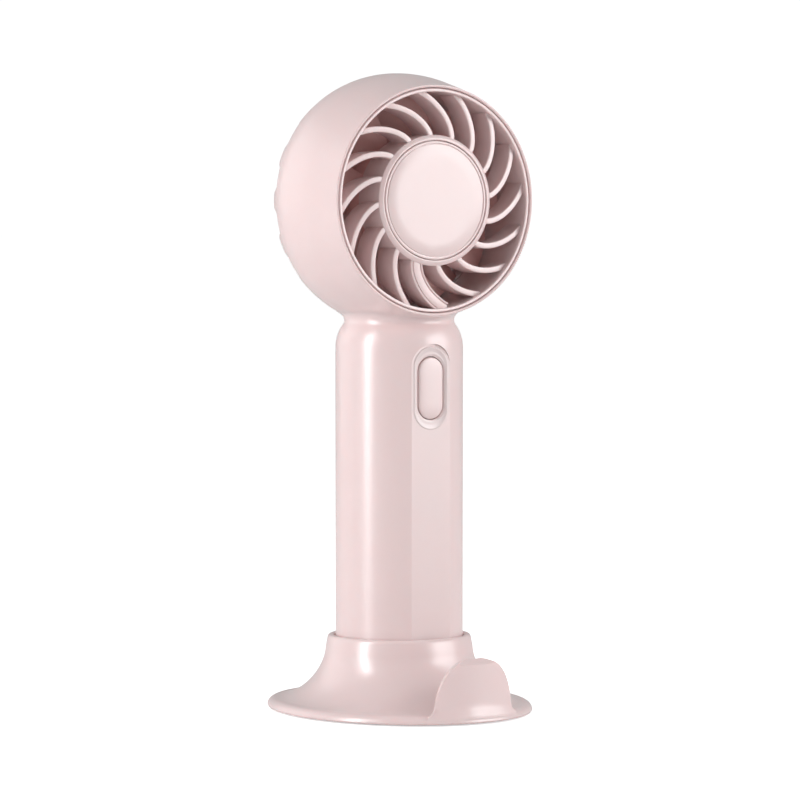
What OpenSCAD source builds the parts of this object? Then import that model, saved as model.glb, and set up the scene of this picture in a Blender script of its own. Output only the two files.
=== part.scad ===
// Handheld electric fan standing in its oval desk stand.
// Millimetres, +Z up. The air leaves toward -Y. The origin is on the table, under the handle's axis.

/* [Overall] */
// Height of the blade axis above the table
head_axis_z = 151.9; // [146:0.1:200]
// Largest diameter of the head
head_d = 75.4; // [70:0.1:92]
// Diameter of the handle
handle_d = 38; // [36.5:0.1:46]
// Side-to-side width of the stand
base_width = 75; // [62:0.1:95]
// Front-to-back length of the stand
base_length = 89.4; // [80:0.1:115]

/* [Head] */
// Depth of the head along the blade axis
head_depth = 41; // [41:0.1:44]
// Distance from the handle's axis forward to the front rim
head_front = 20.6; // [20:0.1:21.5]
// How much smaller the front rim's radius is than the belly's
rim_drop = 3.9; // [3:0.1:5]
// Slope of the straight flare behind the front rim, in degrees
flare_angle = 12.9; // [11:0.1:16]
// Radius of the belly's curve in front of the widest section
belly_front_curve = 46; // [36:1:50]
// Radius of the belly's curve behind the widest section
belly_rear_curve = 28; // [26:1:60]
// Depth of the seam between the housing and the rear grille
seam_depth = 30; // [29:0.1:31]
// Depth at which the belly turns into the rear face
edge_depth = 37.4; // [36.5:0.1:38]
// Thickness of the front lip
lip = 0.8; // [0.6:0.1:1.5]

/* [Front grille] */
// Number of vanes
vane_count = 16; // [10:1:20]
// Face angle of the first vane's inner end, in degrees
vane_start = 4; // [0:0.5:22]
// How far a vane sweeps round between the hub and the ring, in degrees
vane_sweep = 25.5; // [15:0.5:35]
// Thickness of a vane
vane_t = 1.7; // [1:0.1:2]
// Thickness of the vane that carries the motor leads
wide_vane_t = 3.8; // [3:0.1:4]
// Depth at which the vanes end
vane_depth = 11; // [10.5:0.1:11.5]
// Radial width of the grille's outer ring
ring_w = 1.05; // [0.8:0.05:2]
// Depth of the grille's ring and of its hub cup
cup_depth = 12; // [11.8:0.1:12.3]
// Radius of the hub
hub_r = 19.2; // [19:0.1:21]
// Wall of the hub cup
hub_wall = 1.6; // [1.2:0.1:1.8]

/* [Rear grille] */
// Number of slots
slot_count = 16; // [8:1:20]
// Width of a slot at its inner end
slot_w_in = 2.6; // [2:0.1:3]
// Width of a slot where it leaves the edge
slot_w_out = 4.6; // [3:0.1:6]
// Radius at which the slots start
slot_r = 24; // [20:0.5:26]

/* [Blades] */
// Number of blades
blade_count = 9; // [5:1:11]
// Blade angle from the axis, in degrees
blade_angle = 52; // [35:1:60]
// Thickness of a blade
blade_t = 1.2; // [0.9:0.1:1.6]
// Gap between the blade tips and the duct
tip_gap = 1.2; // [0.6:0.1:2]
// Radius of the spinning hub
spin_hub_r = 18.2; // [17:0.1:18.4]

/* [Motor] */
// Radius of the motor shaft
shaft_r = 1; // [0.8:0.1:1.2]
// Outer radius of a bearing
bearing_r = 2.5; // [2.2:0.1:2.7]
// Width of a bearing
bearing_w = 2.3; // [2:0.1:2.6]
// Outer radius of the stator
stator_r = 9.5; // [9:0.1:10]
// Number of stator teeth
tooth_count = 9; // [6:3:9]
// Radial thickness of the magnet ring
magnet_t = 1; // [0.8:0.1:1.2]
// Wall of the rotor can
can_wall = 0.7; // [0.5:0.1:0.8]

/* [Handle] */
// Wall of the handle
wall = 2.2; // [1.8:0.1:2.6]
// How far the front flat lies inside the round of the handle
flat_inset = 1.2; // [0.9:0.1:1.4]
// Radius of the shoulder under the head
shoulder_r = 11.5; // [9:0.5:14]
// Radius of the hollow between the neck and the head
neck_fillet = 1.8; // [1:0.1:2.5]
// How much smaller the neck's radius is than the handle's
neck_drop = 2.9; // [2.5:0.1:3.2]
// Distance from the neck down to the middle of the button
button_drop = 19.6; // [18:0.1:23]
// Height of the handle's foot above the table
fan_bottom = 4; // [3.9:0.1:5]

/* [Button] */
// Width of the button cap
cap_w = 8.5; // [7.5:0.1:9.5]
// Length of the button cap
cap_l = 18.3; // [16:0.1:20]
// Gap round the button cap
cap_gap = 0.2; // [0.15:0.05:0.3]
// Width of the bezel's rim beside the opening
bezel_w = 1.35; // [1:0.05:1.6]
// Width of the bezel's rim above and below the opening
bezel_end_w = 2.2; // [1.4:0.05:2.4]
// How far the bezel stands proud of the flat
bezel_proud = 0.5; // [0.2:0.1:0.8]
// How far the cap lies below the bezel's crest
cap_sink = 1; // [0.6:0.1:1.2]
// Travel of the button
press = 0.5; // [0.3:0.05:0.55]

/* [Battery] */
// Diameter of the cell
cell_d = 18.4; // [18:0.1:18.8]
// Length of the cell
cell_l = 65; // [60:0.5:66]
// How far the cell sits in front of the handle's axis
cell_shift = 2.5; // [2:0.1:3]

/* [Charging port] */
// Height of the port above the table
port_z = 33; // [30:0.5:45]
// Width of the port's metal shell
port_w = 8.94; // [8.9:0.01:9]
// Height of the port's metal shell
port_h = 3.26; // [3.2:0.01:3.3]

/* [Stand] */
// Height of the stand's collar
collar_z = 22.7; // [20:0.1:30]
// Gap between the handle and its socket
socket_gap = 0.35; // [0.2:0.05:0.5]
// Wall of the collar at its top
collar_wall = 1.95; // [1.6:0.05:2.6]
// Power of the bell's curve, where 2 is an ellipse
bell_power = 1.7; // [1.4:0.1:2.2]
// Height of the flange's upper edge
flange_z = 3.2; // [3:0.1:4]
// Thickness of the soft pad under the stand
pad_t = 0.8; // [0.6:0.1:1]
// Thickness of the steel plate in the stand
plate_t = 1.8; // [1.5:0.1:1.9]
// Inset of the steel plate from the stand's edge
plate_inset = 4.5; // [4:0.1:6]

/* [Phone tab] */
// Height of the tab's top above the table
tab_z = 19.3; // [16:0.1:24]
// Half width of the tab's arch at the flange
tab_half = 13.7; // [11:0.1:16]
// Height of the tab's arch if it were not cut off
tab_rise = 18.4; // [17:0.1:24]
// Thickness of the tab
tab_t = 2.3; // [1.8:0.1:2.6]
// Radius of the tab's outer face
tab_curve = 31.5; // [26:0.5:40]

/* [Hidden] */
$fn = 96;

pink = [0.93, 0.85, 0.85];
steel = [0.72, 0.73, 0.75];
copper = [0.78, 0.46, 0.25];
board_green = [0.10, 0.35, 0.22];
black = [0.12, 0.12, 0.13];
eps = 0.01;
cut = 1;

// Head radii
head_r = head_d / 2;
rim_r = head_r - rim_drop;
bore_r = rim_r - lip;
ring_gap = 0.15;
grille_r = bore_r - ring_gap;
grille_in_r = grille_r - ring_w;
duct_r = bore_r - 1;
blade_r = duct_r - tip_gap;
belly_drop = belly_front_curve * (1 - cos(flare_angle));
flare_end = (rim_drop - belly_drop) / tan(flare_angle);
belly_depth = flare_end + belly_front_curve * sin(flare_angle);

// Head depths, counted back from the front rim
disc_t = 1.2;
hub_plate_t = 1.6;
hub_plate_end = disc_t + hub_plate_t;
board_t = 1;
bearing_start = hub_plate_end + 1.2;
can_start = hub_plate_end + 2.8;
can_l = 8;
can_end = can_start + can_l;
spin_start = cup_depth + 0.6;
blade_start = spin_start + 0.9;
spin_end = 25;
blade_end = spin_end - 2.6;
spigot_start = 27;
spigot_wall = 1.85;

// Handle
handle_r = handle_d / 2;
handle_in_r = handle_r - wall;
flat_y = handle_r - flat_inset;
flat_half = sqrt(pow(handle_r, 2) - pow(flat_y, 2));
neck_r = handle_r - neck_drop;
neck_z = head_axis_z - head_r + 2.1;
shoulder_rise = sqrt(pow(shoulder_r, 2) - pow(shoulder_r - neck_drop, 2));
shoulder_z = neck_z - shoulder_rise - 0.35;
button_z = neck_z - button_drop;
tube_bottom = fan_bottom + 2;
flat_top = button_z + 13.1;
neck_bore_r = neck_r - wall - 1.5;
neck_bore_z = neck_z - 3;

// Button stack, counted outward from the handle's axis
bezel_crest = flat_y + bezel_proud;
open_w = cap_w + 2 * cap_gap;
open_l = cap_l + 2 * cap_gap;
bezel_out_w = open_w + 2 * bezel_w;
bezel_out_l = open_l + 2 * bezel_end_w;
spigot_w = open_w + 1.5;
spigot_l = open_l + 1.5;
bezel_back = flat_y - 1.9;
cap_face = bezel_crest - cap_sink;
cap_flange_face = bezel_back - 0.05;
cap_flange_t = 0.8;
plunger_tip = cap_flange_face - 1.6;
switch_face = plunger_tip - press - 0.2;
switch_h = 3;
control_face = switch_face - switch_h;
pcb_t = 1.6;
plunger_r = 1.7;
plunger_l = 2.2;
control_z0 = button_z - 11;
control_z1 = button_z + 12;

// Battery and carrier
cell_r = cell_d / 2;
cell_y = -cell_shift;
carrier_gap = 0.15;
carrier_t = 1.25;
carrier_r = cell_r + carrier_gap + carrier_t;
tab_metal = 0.3;
cap_spigot_top = tube_bottom + 2.5;
carrier_z0 = cap_spigot_top + 0.2;
carrier_end_t = 1.2;
cell_z0 = carrier_z0 + carrier_end_t + tab_metal + 0.1;
cell_z1 = cell_z0 + cell_l;
carrier_z1 = cell_z1 + tab_metal + 0.1 + carrier_end_t;
carrier_fit = 0.15;
post_w = 7;
post_t = 2.6;
wire_r = 0.7;
power_x = 5;
power_z = carrier_z1 + 1.5;

// Charging board, behind the cell
charge_y = cell_y + carrier_r + 0.3;
charge_t = 1.2;
charge_z0 = port_z - 9;
charge_z1 = port_z + 17;
charge_half = min(10, sqrt(pow(handle_in_r, 2) - pow(charge_y + charge_t, 2)) - 2.4);
port_mouth = handle_r - 0.5;
port_gap = 0.2;

// Motor leads, led out through the wide vane
wide_angle = vane_start - 5 * 360 / vane_count;
lead_depth = 8.5;
lead_h = 3;
lead_t = 1.3;
lead_slack = 0.2;
lead_r = 0.9;
lead_hole_r = 1.7;
lead_top_r = grille_r - 0.4;
lead_angle = wide_angle + vane_turn(lead_top_r);
lead_x = lead_top_r * cos(lead_angle);
lead_y = lead_depth - head_front;
lead_notch_r = sqrt(pow(grille_in_r, 2) - pow(lead_x, 2)) - 0.3;
jog_z = shoulder_z - 3.2;
plug_y = -(control_face + 1.7);
plug_z = control_z1 - 5;

// Stand
socket_r = handle_r + socket_gap;
collar_r = socket_r + collar_wall;
half_x = base_width / 2;
half_y = base_length / 2;
collar_foot_z = collar_z - 3.7;
collar_share = 0.038;
flange_share = 0.858;
edge_z = 1;
skirt_z = 0.4;
socket_floor = fan_bottom - 0.1;
plate_top = pad_t + plate_t;
stand_wall = 2.1;
key_z = 15;
key_gap = 0.25;
screw_spread = collar_r + 5;

// Point on a circle
function polar(r, a) = [r * cos(a), r * sin(a)];

// Points of an arc round c
function arc(c, r, a0, a1, n) = [for (i = [0:n]) c + polar(r, a0 + (a1 - a0) * i / n)];

// Radius of the head's skin at a depth
function skin_r(d) =
    d < flare_end ? rim_r + d * tan(flare_angle)
    : d < belly_depth
    ? head_r - belly_front_curve + sqrt(pow(belly_front_curve, 2) - pow(belly_depth - d, 2))
    : head_r - belly_rear_curve + sqrt(pow(belly_rear_curve, 2) - pow(d - belly_depth, 2));

// Head skin just after one depth up to another, as radius and height along the axis
function skin(d0, d1, n) = [for (i = [1:n]) let (d = d0 + (d1 - d0) * i / n) [skin_r(d), -d]];

// How far a vane has turned at a radius, in degrees
function vane_turn(r) = vane_sweep * pow(max(0, (r - hub_r) / (grille_in_r - hub_r)), 1.3);

// Centre line of a vane
function vane_point(r) = polar(r, vane_turn(r));

// Unit normal of a vane's centre line
function vane_normal(r) =
    let (t = vane_point(r + 0.05) - vane_point(r - 0.05))
    [-t[1], t[0]] / norm(t);

// Outline of a strip that follows a vane
function vane_strip(r0, r1, t, n) = concat(
    [for (i = [0:n]) let (r = r0 + (r1 - r0) * i / n) vane_point(r) - vane_normal(r) * t / 2],
    [for (i = [n:-1:0]) let (r = r0 + (r1 - r0) * i / n) vane_point(r) + vane_normal(r) * t / 2]
);

// Share of the way from the collar to the stand's edge, at a height on the bell
function bell_share(z) =
    let (t = min(1, max(0, (collar_foot_z - z) / (collar_foot_z - flange_z))))
    flange_share - (flange_share - collar_share) * pow(1 - pow(t, bell_power), 1 / bell_power);

// Stand outline at a share and a height, taken in by an inset
function oval(share, z, inset, n) =
    let (
        a = collar_r + share * (half_x - collar_r) - inset,
        b = collar_r + share * (half_y - collar_r) - inset
    )
    [for (i = [0:n - 1]) [a * cos(360 * i / n), b * sin(360 * i / n), z]];

module on_fan_axis() translate([0, -head_front, head_axis_z]) rotate([90, 0, 0]) children();

module on_front(z) translate([0, 0, z]) rotate([90, 0, 0]) children();

module on_rear(z) translate([0, 0, z]) rotate([90, 0, 180]) children();

// Ring about the blade axis, between two depths
module ring(r_out, r_in, d0, d1) translate([0, 0, -d1]) difference() {
    cylinder(r = r_out, h = d1 - d0);
    translate([0, 0, -cut]) cylinder(r = r_in, h = d1 - d0 + 2 * cut);
}

// Disc about the blade axis, between two depths
module disc(r, d0, d1) translate([0, 0, -d1]) cylinder(r = r, h = d1 - d0);

// Outline with round ends, longer side up
module stadium(w, l) {
    for (s = [-1, 1]) translate([0, s * (l - w) / 2]) circle(d = w);
    square([w, l - w], center = true);
}

// Solid between stacked outlines that all have the same number of points
module loft(rings) {
    n = len(rings[0]);
    m = len(rings);
    sides = [for (k = [0:m - 2]) for (i = [0:n - 1]) let (a = k * n + i, b = k * n + (i + 1) % n)
        each [[a, b + n, b], [a, a + n, b + n]]];
    foot = [for (i = [0:n - 1]) i];
    top = [for (i = [n - 1:-1:0]) (m - 1) * n + i];
    polyhedron(points = [for (r = rings) each r], faces = concat(sides, [foot, top]));
}

module housing_drum() on_fan_axis() rotate_extrude() polygon(concat(
    [[rim_r, 0]],
    skin(0, flare_end, 1),
    skin(flare_end, belly_depth, 6),
    skin(belly_depth, seam_depth, 5),
    [
        [bore_r, -seam_depth], [bore_r, -spigot_start], [duct_r, -spigot_start],
        [duct_r, -cup_depth - ring_gap], [bore_r, -cup_depth - ring_gap], [bore_r, 0]
    ]
));

module handle_outside() rotate_extrude() polygon(concat(
    [[0, tube_bottom], [handle_r - 0.4, tube_bottom], [handle_r, tube_bottom + 0.4]],
    arc([handle_r - shoulder_r, shoulder_z], shoulder_r, 0, asin(shoulder_rise / shoulder_r), 10),
    arc([neck_r + neck_fillet, neck_z], neck_fillet, 180, 90, 5),
    [[0, neck_z + neck_fillet + 2]]
));

module handle_inside() {
    translate([0, 0, tube_bottom - cut]) cylinder(r = handle_in_r, h = shoulder_z - 2 - tube_bottom + cut);
    translate([0, 0, shoulder_z - 2 - eps]) cylinder(r1 = handle_in_r, r2 = neck_bore_r, h = 5);
    translate([0, 0, shoulder_z + 2]) cylinder(r = neck_bore_r, h = neck_bore_z - shoulder_z - 2);
}

module front_flat() on_front(0) translate([0, 0, flat_y]) linear_extrude(5) {
    translate([-flat_half - 2, 0]) square([2 * flat_half + 4, flat_top - flat_half - 8]);
    translate([-flat_half, 0]) square([2 * flat_half, flat_top - flat_half]);
    translate([0, flat_top - flat_half]) circle(r = flat_half);
}

// Room behind the seam for the rear grille's lobes
module rear_clearance() on_fan_axis() rotate_extrude() polygon(concat(
    [[0, -seam_depth], [skin_r(seam_depth) + ring_gap, -seam_depth]],
    [for (p = skin(seam_depth, edge_depth, 5)) p + [ring_gap, 0]],
    [[skin_r(edge_depth) + ring_gap, -head_depth - cut], [0, -head_depth - cut]]
));

module port_outline(grow) rotate(90) stadium(port_h + 2 * grow, port_w + 2 * grow);

// Way for the motor leads, from the handle up into the wide vane
module lead_hole() translate([lead_x, lead_y, jog_z - 1])
    cylinder(r = lead_hole_r, h = head_axis_z - sqrt(pow(grille_in_r, 2) - pow(lead_x, 2)) + 0.5 - jog_z + 1);

module housing() color(pink) {
    difference() {
        union() {
            handle_outside();
            on_fan_axis() disc(skin_r(0), 0, head_front);
        }
        on_fan_axis() disc(rim_r + 0.1, -cut, 0);
        on_fan_axis() disc(bore_r, -cut, cup_depth + ring_gap);
        on_fan_axis() disc(duct_r, 0, spigot_start + eps);
        on_fan_axis() disc(bore_r, spigot_start, head_depth);
        rear_clearance();
        handle_inside();
        front_flat();
        on_front(button_z) translate([0, 0, neck_bore_r - 4]) linear_extrude(handle_r) stadium(spigot_w, spigot_l);
        on_rear(port_z) translate([0, 0, charge_y + charge_t]) linear_extrude(handle_r) port_outline(port_gap);
        lead_hole();
    }
    difference() {
        housing_drum();
        lead_hole();
    }
}

module grille_envelope() rotate_extrude() polygon([
    [hub_r - hub_wall / 2, -0.6], [hub_r + 1, -0.6], [grille_in_r, -2.3], [grille_r - ring_w / 2, -2.3],
    [grille_r - ring_w / 2, -vane_depth], [hub_r - hub_wall / 2, -vane_depth]
]);

module grille_vanes() for (i = [0:vane_count - 1]) let (a = vane_start + i * 360 / vane_count)
    rotate(a) translate([0, 0, -vane_depth - cut]) linear_extrude(vane_depth + 2 * cut)
        polygon(vane_strip(hub_r - 1, grille_r, abs(a - wide_angle - 360) < 1 ? wide_vane_t : vane_t, 6));

module lead_strip(r0, r1, t, d0, d1) rotate(wide_angle) translate([0, 0, -d1]) linear_extrude(d1 - d0)
    polygon(vane_strip(r0, r1, t, 8));

module hub_cup() difference() {
    rotate_extrude() polygon([
        [0, -disc_t], [hub_r - hub_wall, -disc_t], [hub_r - hub_wall, -0.3], [hub_r - hub_wall + 0.3, 0],
        [hub_r - 0.5, 0], [hub_r, -0.5], [hub_r, -cup_depth], [hub_r - hub_wall, -cup_depth],
        [hub_r - hub_wall, -hub_plate_end], [0, -hub_plate_end]
    ]);
    for (i = [0:2]) rotate(90 + 120 * i) translate([10.5, 0, -hub_plate_end - cut])
        cylinder(r = 0.9, h = 0.8 + cut);
}

module front_grille() color(pink) difference() {
    on_fan_axis() {
        ring(grille_r, grille_in_r, 0.15, cup_depth);
        hub_cup();
        intersection() {
            grille_envelope();
            grille_vanes();
        }
    }
    on_fan_axis()
        lead_strip(15, grille_r + 1, lead_t + 2 * lead_slack, lead_depth - lead_h / 2 - lead_slack, cup_depth + cut);
    on_fan_axis() translate([lead_x - 1.2, -grille_r - cut, -cup_depth - cut])
        cube([2.4, grille_r + cut - lead_notch_r, cup_depth + cut - lead_depth + lead_h / 2]);
}

module hub_disc() color(pink) on_fan_axis() rotate_extrude()
    polygon([[0, -disc_t], [hub_r - hub_wall - 0.5, -disc_t], [hub_r - hub_wall - 0.5, -0.3],
        [hub_r - hub_wall - 0.8, 0], [0, 0]]);

module rear_slot(r0, d0) translate([0, 0, -head_depth - cut]) linear_extrude(head_depth + cut - d0) {
    polygon([[r0, -slot_w_in / 2], [head_r + 5, -slot_w_out / 2], [head_r + 5, slot_w_out / 2], [r0, slot_w_in / 2]]);
    translate([r0, 0]) circle(d = slot_w_in, $fn = 24);
}

module rear_grille() color(pink) on_fan_axis() {
    turn = asin((edge_depth - belly_depth) / belly_rear_curve);
    edge_curve = 5;
    edge_centre = [skin_r(edge_depth) - edge_curve * cos(turn), -edge_depth + edge_curve * sin(turn)];
    shell_t = 2;
    difference() {
        rotate_extrude() polygon(concat(
            [[skin_r(seam_depth), -seam_depth]],
            skin(seam_depth, edge_depth, 5),
            arc(edge_centre, edge_curve, -turn, -75, 5),
            [
                [rim_r - 9, -head_depth], [0, -head_depth], [0, -head_depth + shell_t],
                [rim_r - 9.5, -head_depth + shell_t], [rim_r - 4.6, -37.3],
                [grille_r - spigot_wall, -35], [grille_r - spigot_wall, -spigot_start],
                [grille_r, -spigot_start], [grille_r, -seam_depth]
            ]
        ));
        for (i = [0:slot_count - 1]) rotate((i + 0.5) * 360 / slot_count) {
            rear_slot(slot_r, 34);
            difference() {
                rear_slot(slot_r, seam_depth + 0.5);
                disc(grille_r + 0.4, 0, 34 + eps);
            }
        }
    }
}

module bearing_tube() color("goldenrod") on_fan_axis() {
    tube_r = bearing_r + 1;
    ring(tube_r + 2.3, bearing_r, hub_plate_end, hub_plate_end + board_t);
    ring(tube_r, bearing_r, hub_plate_end, can_end - can_wall - 0.7);
}

module bearing(d0) color(steel) on_fan_axis() ring(bearing_r, shaft_r + 0.02, d0, d0 + bearing_w);

module front_bearing() bearing(bearing_start);

module rear_bearing() bearing(can_end - can_wall - 0.7 - bearing_w);

module motor_board() color(board_green) on_fan_axis() difference() {
    ring(hub_r - hub_wall - 1.4, bearing_r + 3.5, hub_plate_end, hub_plate_end + board_t);
    for (i = [0:2]) rotate(90 + 120 * i) translate([10.5, 0, -hub_plate_end - board_t - cut])
        cylinder(r = 1, h = board_t + 2 * cut);
}

module motor_screws() color(steel) on_fan_axis() for (i = [0:2]) rotate(90 + 120 * i) translate([10.5, 0, 0]) {
    disc(0.9, hub_plate_end - 0.8, hub_plate_end + board_t + 0.5);
    disc(1.7, hub_plate_end + board_t, hub_plate_end + board_t + 0.9);
}

stator_d0 = can_start + 0.9;
stator_d1 = stator_d0 + 4.4;
tooth_w = 2.2;

module stator_core() color("dimgray") on_fan_axis() {
    difference() {
        translate([0, 0, -stator_d1]) cylinder(r = bearing_r + 2.5, h = stator_d1 - stator_d0, $fn = tooth_count);
        translate([0, 0, -stator_d1 - cut]) cylinder(r = bearing_r + 1, h = stator_d1);
    }
    for (i = [0:tooth_count - 1]) rotate((i + 0.5) * 360 / tooth_count) {
        translate([bearing_r + 2, -tooth_w / 2, -stator_d1])
            cube([stator_r - 0.9 - bearing_r - 2, tooth_w, stator_d1 - stator_d0]);
        translate([stator_r - 1.3, -2.4, -stator_d1]) cube([1, 4.8, stator_d1 - stator_d0]);
    }
}

module stator_windings() color(copper) on_fan_axis() for (i = [0:tooth_count - 1]) rotate((i + 0.5) * 360 / tooth_count)
    translate([bearing_r + 2.5, 0, -(stator_d0 + stator_d1) / 2]) rotate([0, 90, 0]) difference() {
        linear_extrude(stator_r - 1.4 - bearing_r - 2.5)
            square([stator_d1 - stator_d0 + 1.4, tooth_w + 1.1], center = true);
        translate([0, 0, -cut]) linear_extrude(stator_r)
            square([stator_d1 - stator_d0 + 0.02, tooth_w + 0.02], center = true);
    }

module motor_leads() color("firebrick") {
    on_fan_axis() {
        lead_strip(hub_r - hub_wall - 2.9, lead_top_r, lead_t, lead_depth - lead_h / 2, lead_depth + lead_h / 2);
        lead_strip(hub_r - hub_wall - 2.9, hub_r - hub_wall - 1.6, lead_t, hub_plate_end + board_t, lead_depth);
    }
    top_z = head_axis_z - sqrt(pow(lead_top_r, 2) - pow(lead_x, 2));
    translate([lead_x, lead_y, jog_z]) cylinder(r = lead_r, h = top_z - jog_z);
    translate([lead_x - lead_r, min(lead_y, plug_y) - lead_r, jog_z - lead_r])
        cube([2 * lead_r, abs(lead_y - plug_y) + 2 * lead_r, 2 * lead_r]);
    translate([lead_x, plug_y, plug_z]) cylinder(r = lead_r, h = jog_z - plug_z);
}

module spin_hub() rotate_extrude() polygon(concat(
    [
        [shaft_r, -can_end], [can_r(), -can_end], [can_r(), -can_start - 3],
        [can_r() + 1.2, -can_start - 3], [can_r() + 1.2, -can_end - 1.6], [4, -can_end - 1.6], [4, -spin_end + 1.6],
        [spin_hub_r - 1.6, -spin_end + 1.6], [spin_hub_r - 1.6, -spin_start], [spin_hub_r, -spin_start]
    ],
    arc([spin_hub_r - 3, -spin_end + 2], 3, 0, -90, 5),
    [[shaft_r, -spin_end - 1]]
));

function can_r() = stator_r + 0.5 + magnet_t + can_wall;

module impeller() color(pink) on_fan_axis() {
    spin_hub();
    for (i = [0:5]) rotate(i * 60) translate([can_r() + 0.9, -0.5, -spin_end + 1.5])
        cube([spin_hub_r - 1.2 - can_r() - 0.9, 1, spin_end - can_end - 0.8]);
    for (i = [0:blade_count - 1]) rotate(i * 360 / blade_count) intersection() {
        translate([spin_hub_r - 0.8, 0, -(blade_start + blade_end) / 2]) rotate([blade_angle, 0, 0])
            translate([0, -blade_t / 2, -15]) cube([blade_r - spin_hub_r + 2, blade_t, 30]);
        ring(blade_r, spin_hub_r - 0.6, blade_start, blade_end);
    }
}

module rotor_can() color(steel) on_fan_axis() {
    ring(can_r(), can_r() - can_wall, can_start, can_end);
    ring(can_r() - can_wall / 2, shaft_r, can_end - can_wall, can_end);
}

module rotor_magnet() color("dimgray") on_fan_axis()
    ring(can_r() - can_wall, can_r() - can_wall - magnet_t, can_start + 0.5, can_end - 2.6);

module motor_shaft() color("silver") on_fan_axis() disc(shaft_r, hub_plate_end + 0.4, spin_end - 2);

module shaft_clip() color(steel) on_fan_axis() ring(shaft_r + 0.9, shaft_r, hub_plate_end + 0.5, hub_plate_end + 1);

module button_bezel() color(pink) on_front(button_z) difference() {
    union() {
        translate([0, 0, flat_y]) linear_extrude(bezel_proud) stadium(bezel_out_w, bezel_out_l);
        translate([0, 0, bezel_back]) linear_extrude(flat_y - bezel_back + eps)
            stadium(spigot_w - 0.1, spigot_l - 0.1);
    }
    translate([0, 0, bezel_back - cut]) linear_extrude(bezel_crest - bezel_back + 2 * cut) stadium(open_w, open_l);
}

module button_cap() color(pink) on_front(button_z) {
    translate([0, 0, cap_flange_face - eps]) linear_extrude(cap_face - cap_flange_face + eps) stadium(cap_w, cap_l);
    translate([0, 0, cap_flange_face - cap_flange_t]) linear_extrude(cap_flange_t) stadium(cap_w + 1.4, cap_l + 1.4);
    translate([0, 0, plunger_tip]) cylinder(r = 1.5, h = cap_flange_face - plunger_tip);
}

module switch_plunger() color(black) on_front(button_z)
    translate([0, 0, plunger_tip - plunger_l]) cylinder(r = plunger_r, h = plunger_l);

module switch_body() color(black) on_front(button_z) difference() {
    translate([-3, -3, control_face]) cube([6, 6, switch_h]);
    translate([0, 0, plunger_tip - plunger_l - press - 0.2]) cylinder(r = plunger_r + 0.06, h = switch_h + 3);
}

control_half = min(9, sqrt(pow(handle_in_r, 2) - pow(control_face, 2)) - 0.8);
control_screws = [button_z - 8, button_z + 8];

module control_board() color(board_green) difference() {
    translate([-control_half, -control_face, control_z0])
        cube([2 * control_half, pcb_t, control_z1 - control_z0]);
    for (z = control_screws) on_front(z) cylinder(r = 1.05, h = handle_r);
}

module control_board_parts() color(black) {
    translate([-control_half + 1, -control_face - 1, button_z - 10]) cube([4, 1, 5]);
    translate([control_half - 4, -control_face - 1.6, button_z - 9]) cube([3, 1.6, 3]);
    translate([lead_x - 2.4, plug_y - 1.3, plug_z - 3.5]) cube([4.8, -control_face - plug_y + 1.3, 3.5]);
}

module control_board_screws() color(steel) for (z = control_screws) on_front(z) {
    translate([0, 0, control_face]) cylinder(r = 1.8, h = 1.1);
    translate([0, 0, control_face - pcb_t - post_t + 0.6]) cylinder(r = 0.9, h = pcb_t + post_t - 0.5);
}

module carrier_cradle() difference() {
    translate([0, cell_y, carrier_z0]) cylinder(r = carrier_r, h = carrier_z1 - carrier_z0);
    translate([0, cell_y, carrier_z0 + carrier_end_t])
        cylinder(r = cell_r + carrier_gap, h = carrier_z1 - carrier_z0 - 2 * carrier_end_t);
    translate([-cell_r * 0.7, cell_y - carrier_r - cut, carrier_z0 + 6])
        cube([cell_r * 1.4, carrier_r, carrier_z1 - carrier_z0 - 12]);
    translate([-4.6, cell_y, cell_z0 - tab_metal - 0.1]) cube([9.2, carrier_r + cut, tab_metal + 0.3]);
    translate([-4.6, cell_y, cell_z1 - 0.2]) cube([9.2, carrier_r + cut, tab_metal + 0.3]);
}

module carrier_wings() intersection() {
    translate([0, 0, carrier_z0]) cylinder(r = handle_in_r - carrier_fit, h = carrier_z1 - carrier_z0);
    for (s = [-1, 1]) translate([s > 0 ? carrier_r - 0.6 : -handle_in_r, cell_y - 0.8, carrier_z0])
        cube([handle_in_r - carrier_r + 0.6, 1.6, carrier_z1 - carrier_z0]);
}

module cell_carrier() color("whitesmoke") difference() {
    union() {
        carrier_cradle();
        carrier_wings();
        translate([-post_w / 2, -control_face + pcb_t, carrier_z1 - 1]) cube([post_w, post_t, control_z1 - 2 - carrier_z1]);
        for (s = [-1, 1]) translate([s > 0 ? charge_half - 0.7 : -charge_half - 1.3, cell_y + 2, charge_z0])
            cube([2, charge_y + charge_t + 0.8 - cell_y - 2, charge_z1 - charge_z0]);
    }
    translate([0, cell_y, cell_z0 - tab_metal - 0.1]) cylinder(r = cell_r + carrier_gap, h = cell_l + 2 * tab_metal + 0.2);
    translate([-charge_half - 0.1, charge_y - 0.05, charge_z0 - 0.1])
        cube([2 * charge_half + 0.2, charge_t + 0.1, charge_z1 - charge_z0 + 0.2]);
    for (z = control_screws) on_front(z) cylinder(r = 0.9, h = handle_r);
}

module battery_cell() color("mediumseagreen") translate([0, cell_y, cell_z0]) {
    cylinder(r = cell_r, h = cell_l - 1.6);
    cylinder(r = cell_r - 1, h = cell_l - 0.8);
    cylinder(r = 3.2, h = cell_l);
}

module cell_tabs() color("silver") for (z = [cell_z0 - tab_metal, cell_z1])
    translate([-4, cell_y - 3, z]) cube([8, charge_y + charge_t - cell_y + 3, tab_metal]);

module cell_leads() color("firebrick") {
    lead_at = charge_y + charge_t / 2;
    translate([-3, lead_at, cell_z0]) cylinder(r = 0.55, h = charge_z0 - cell_z0);
    translate([3, lead_at, charge_z1]) cylinder(r = 0.55, h = cell_z1 - charge_z1);
}

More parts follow.
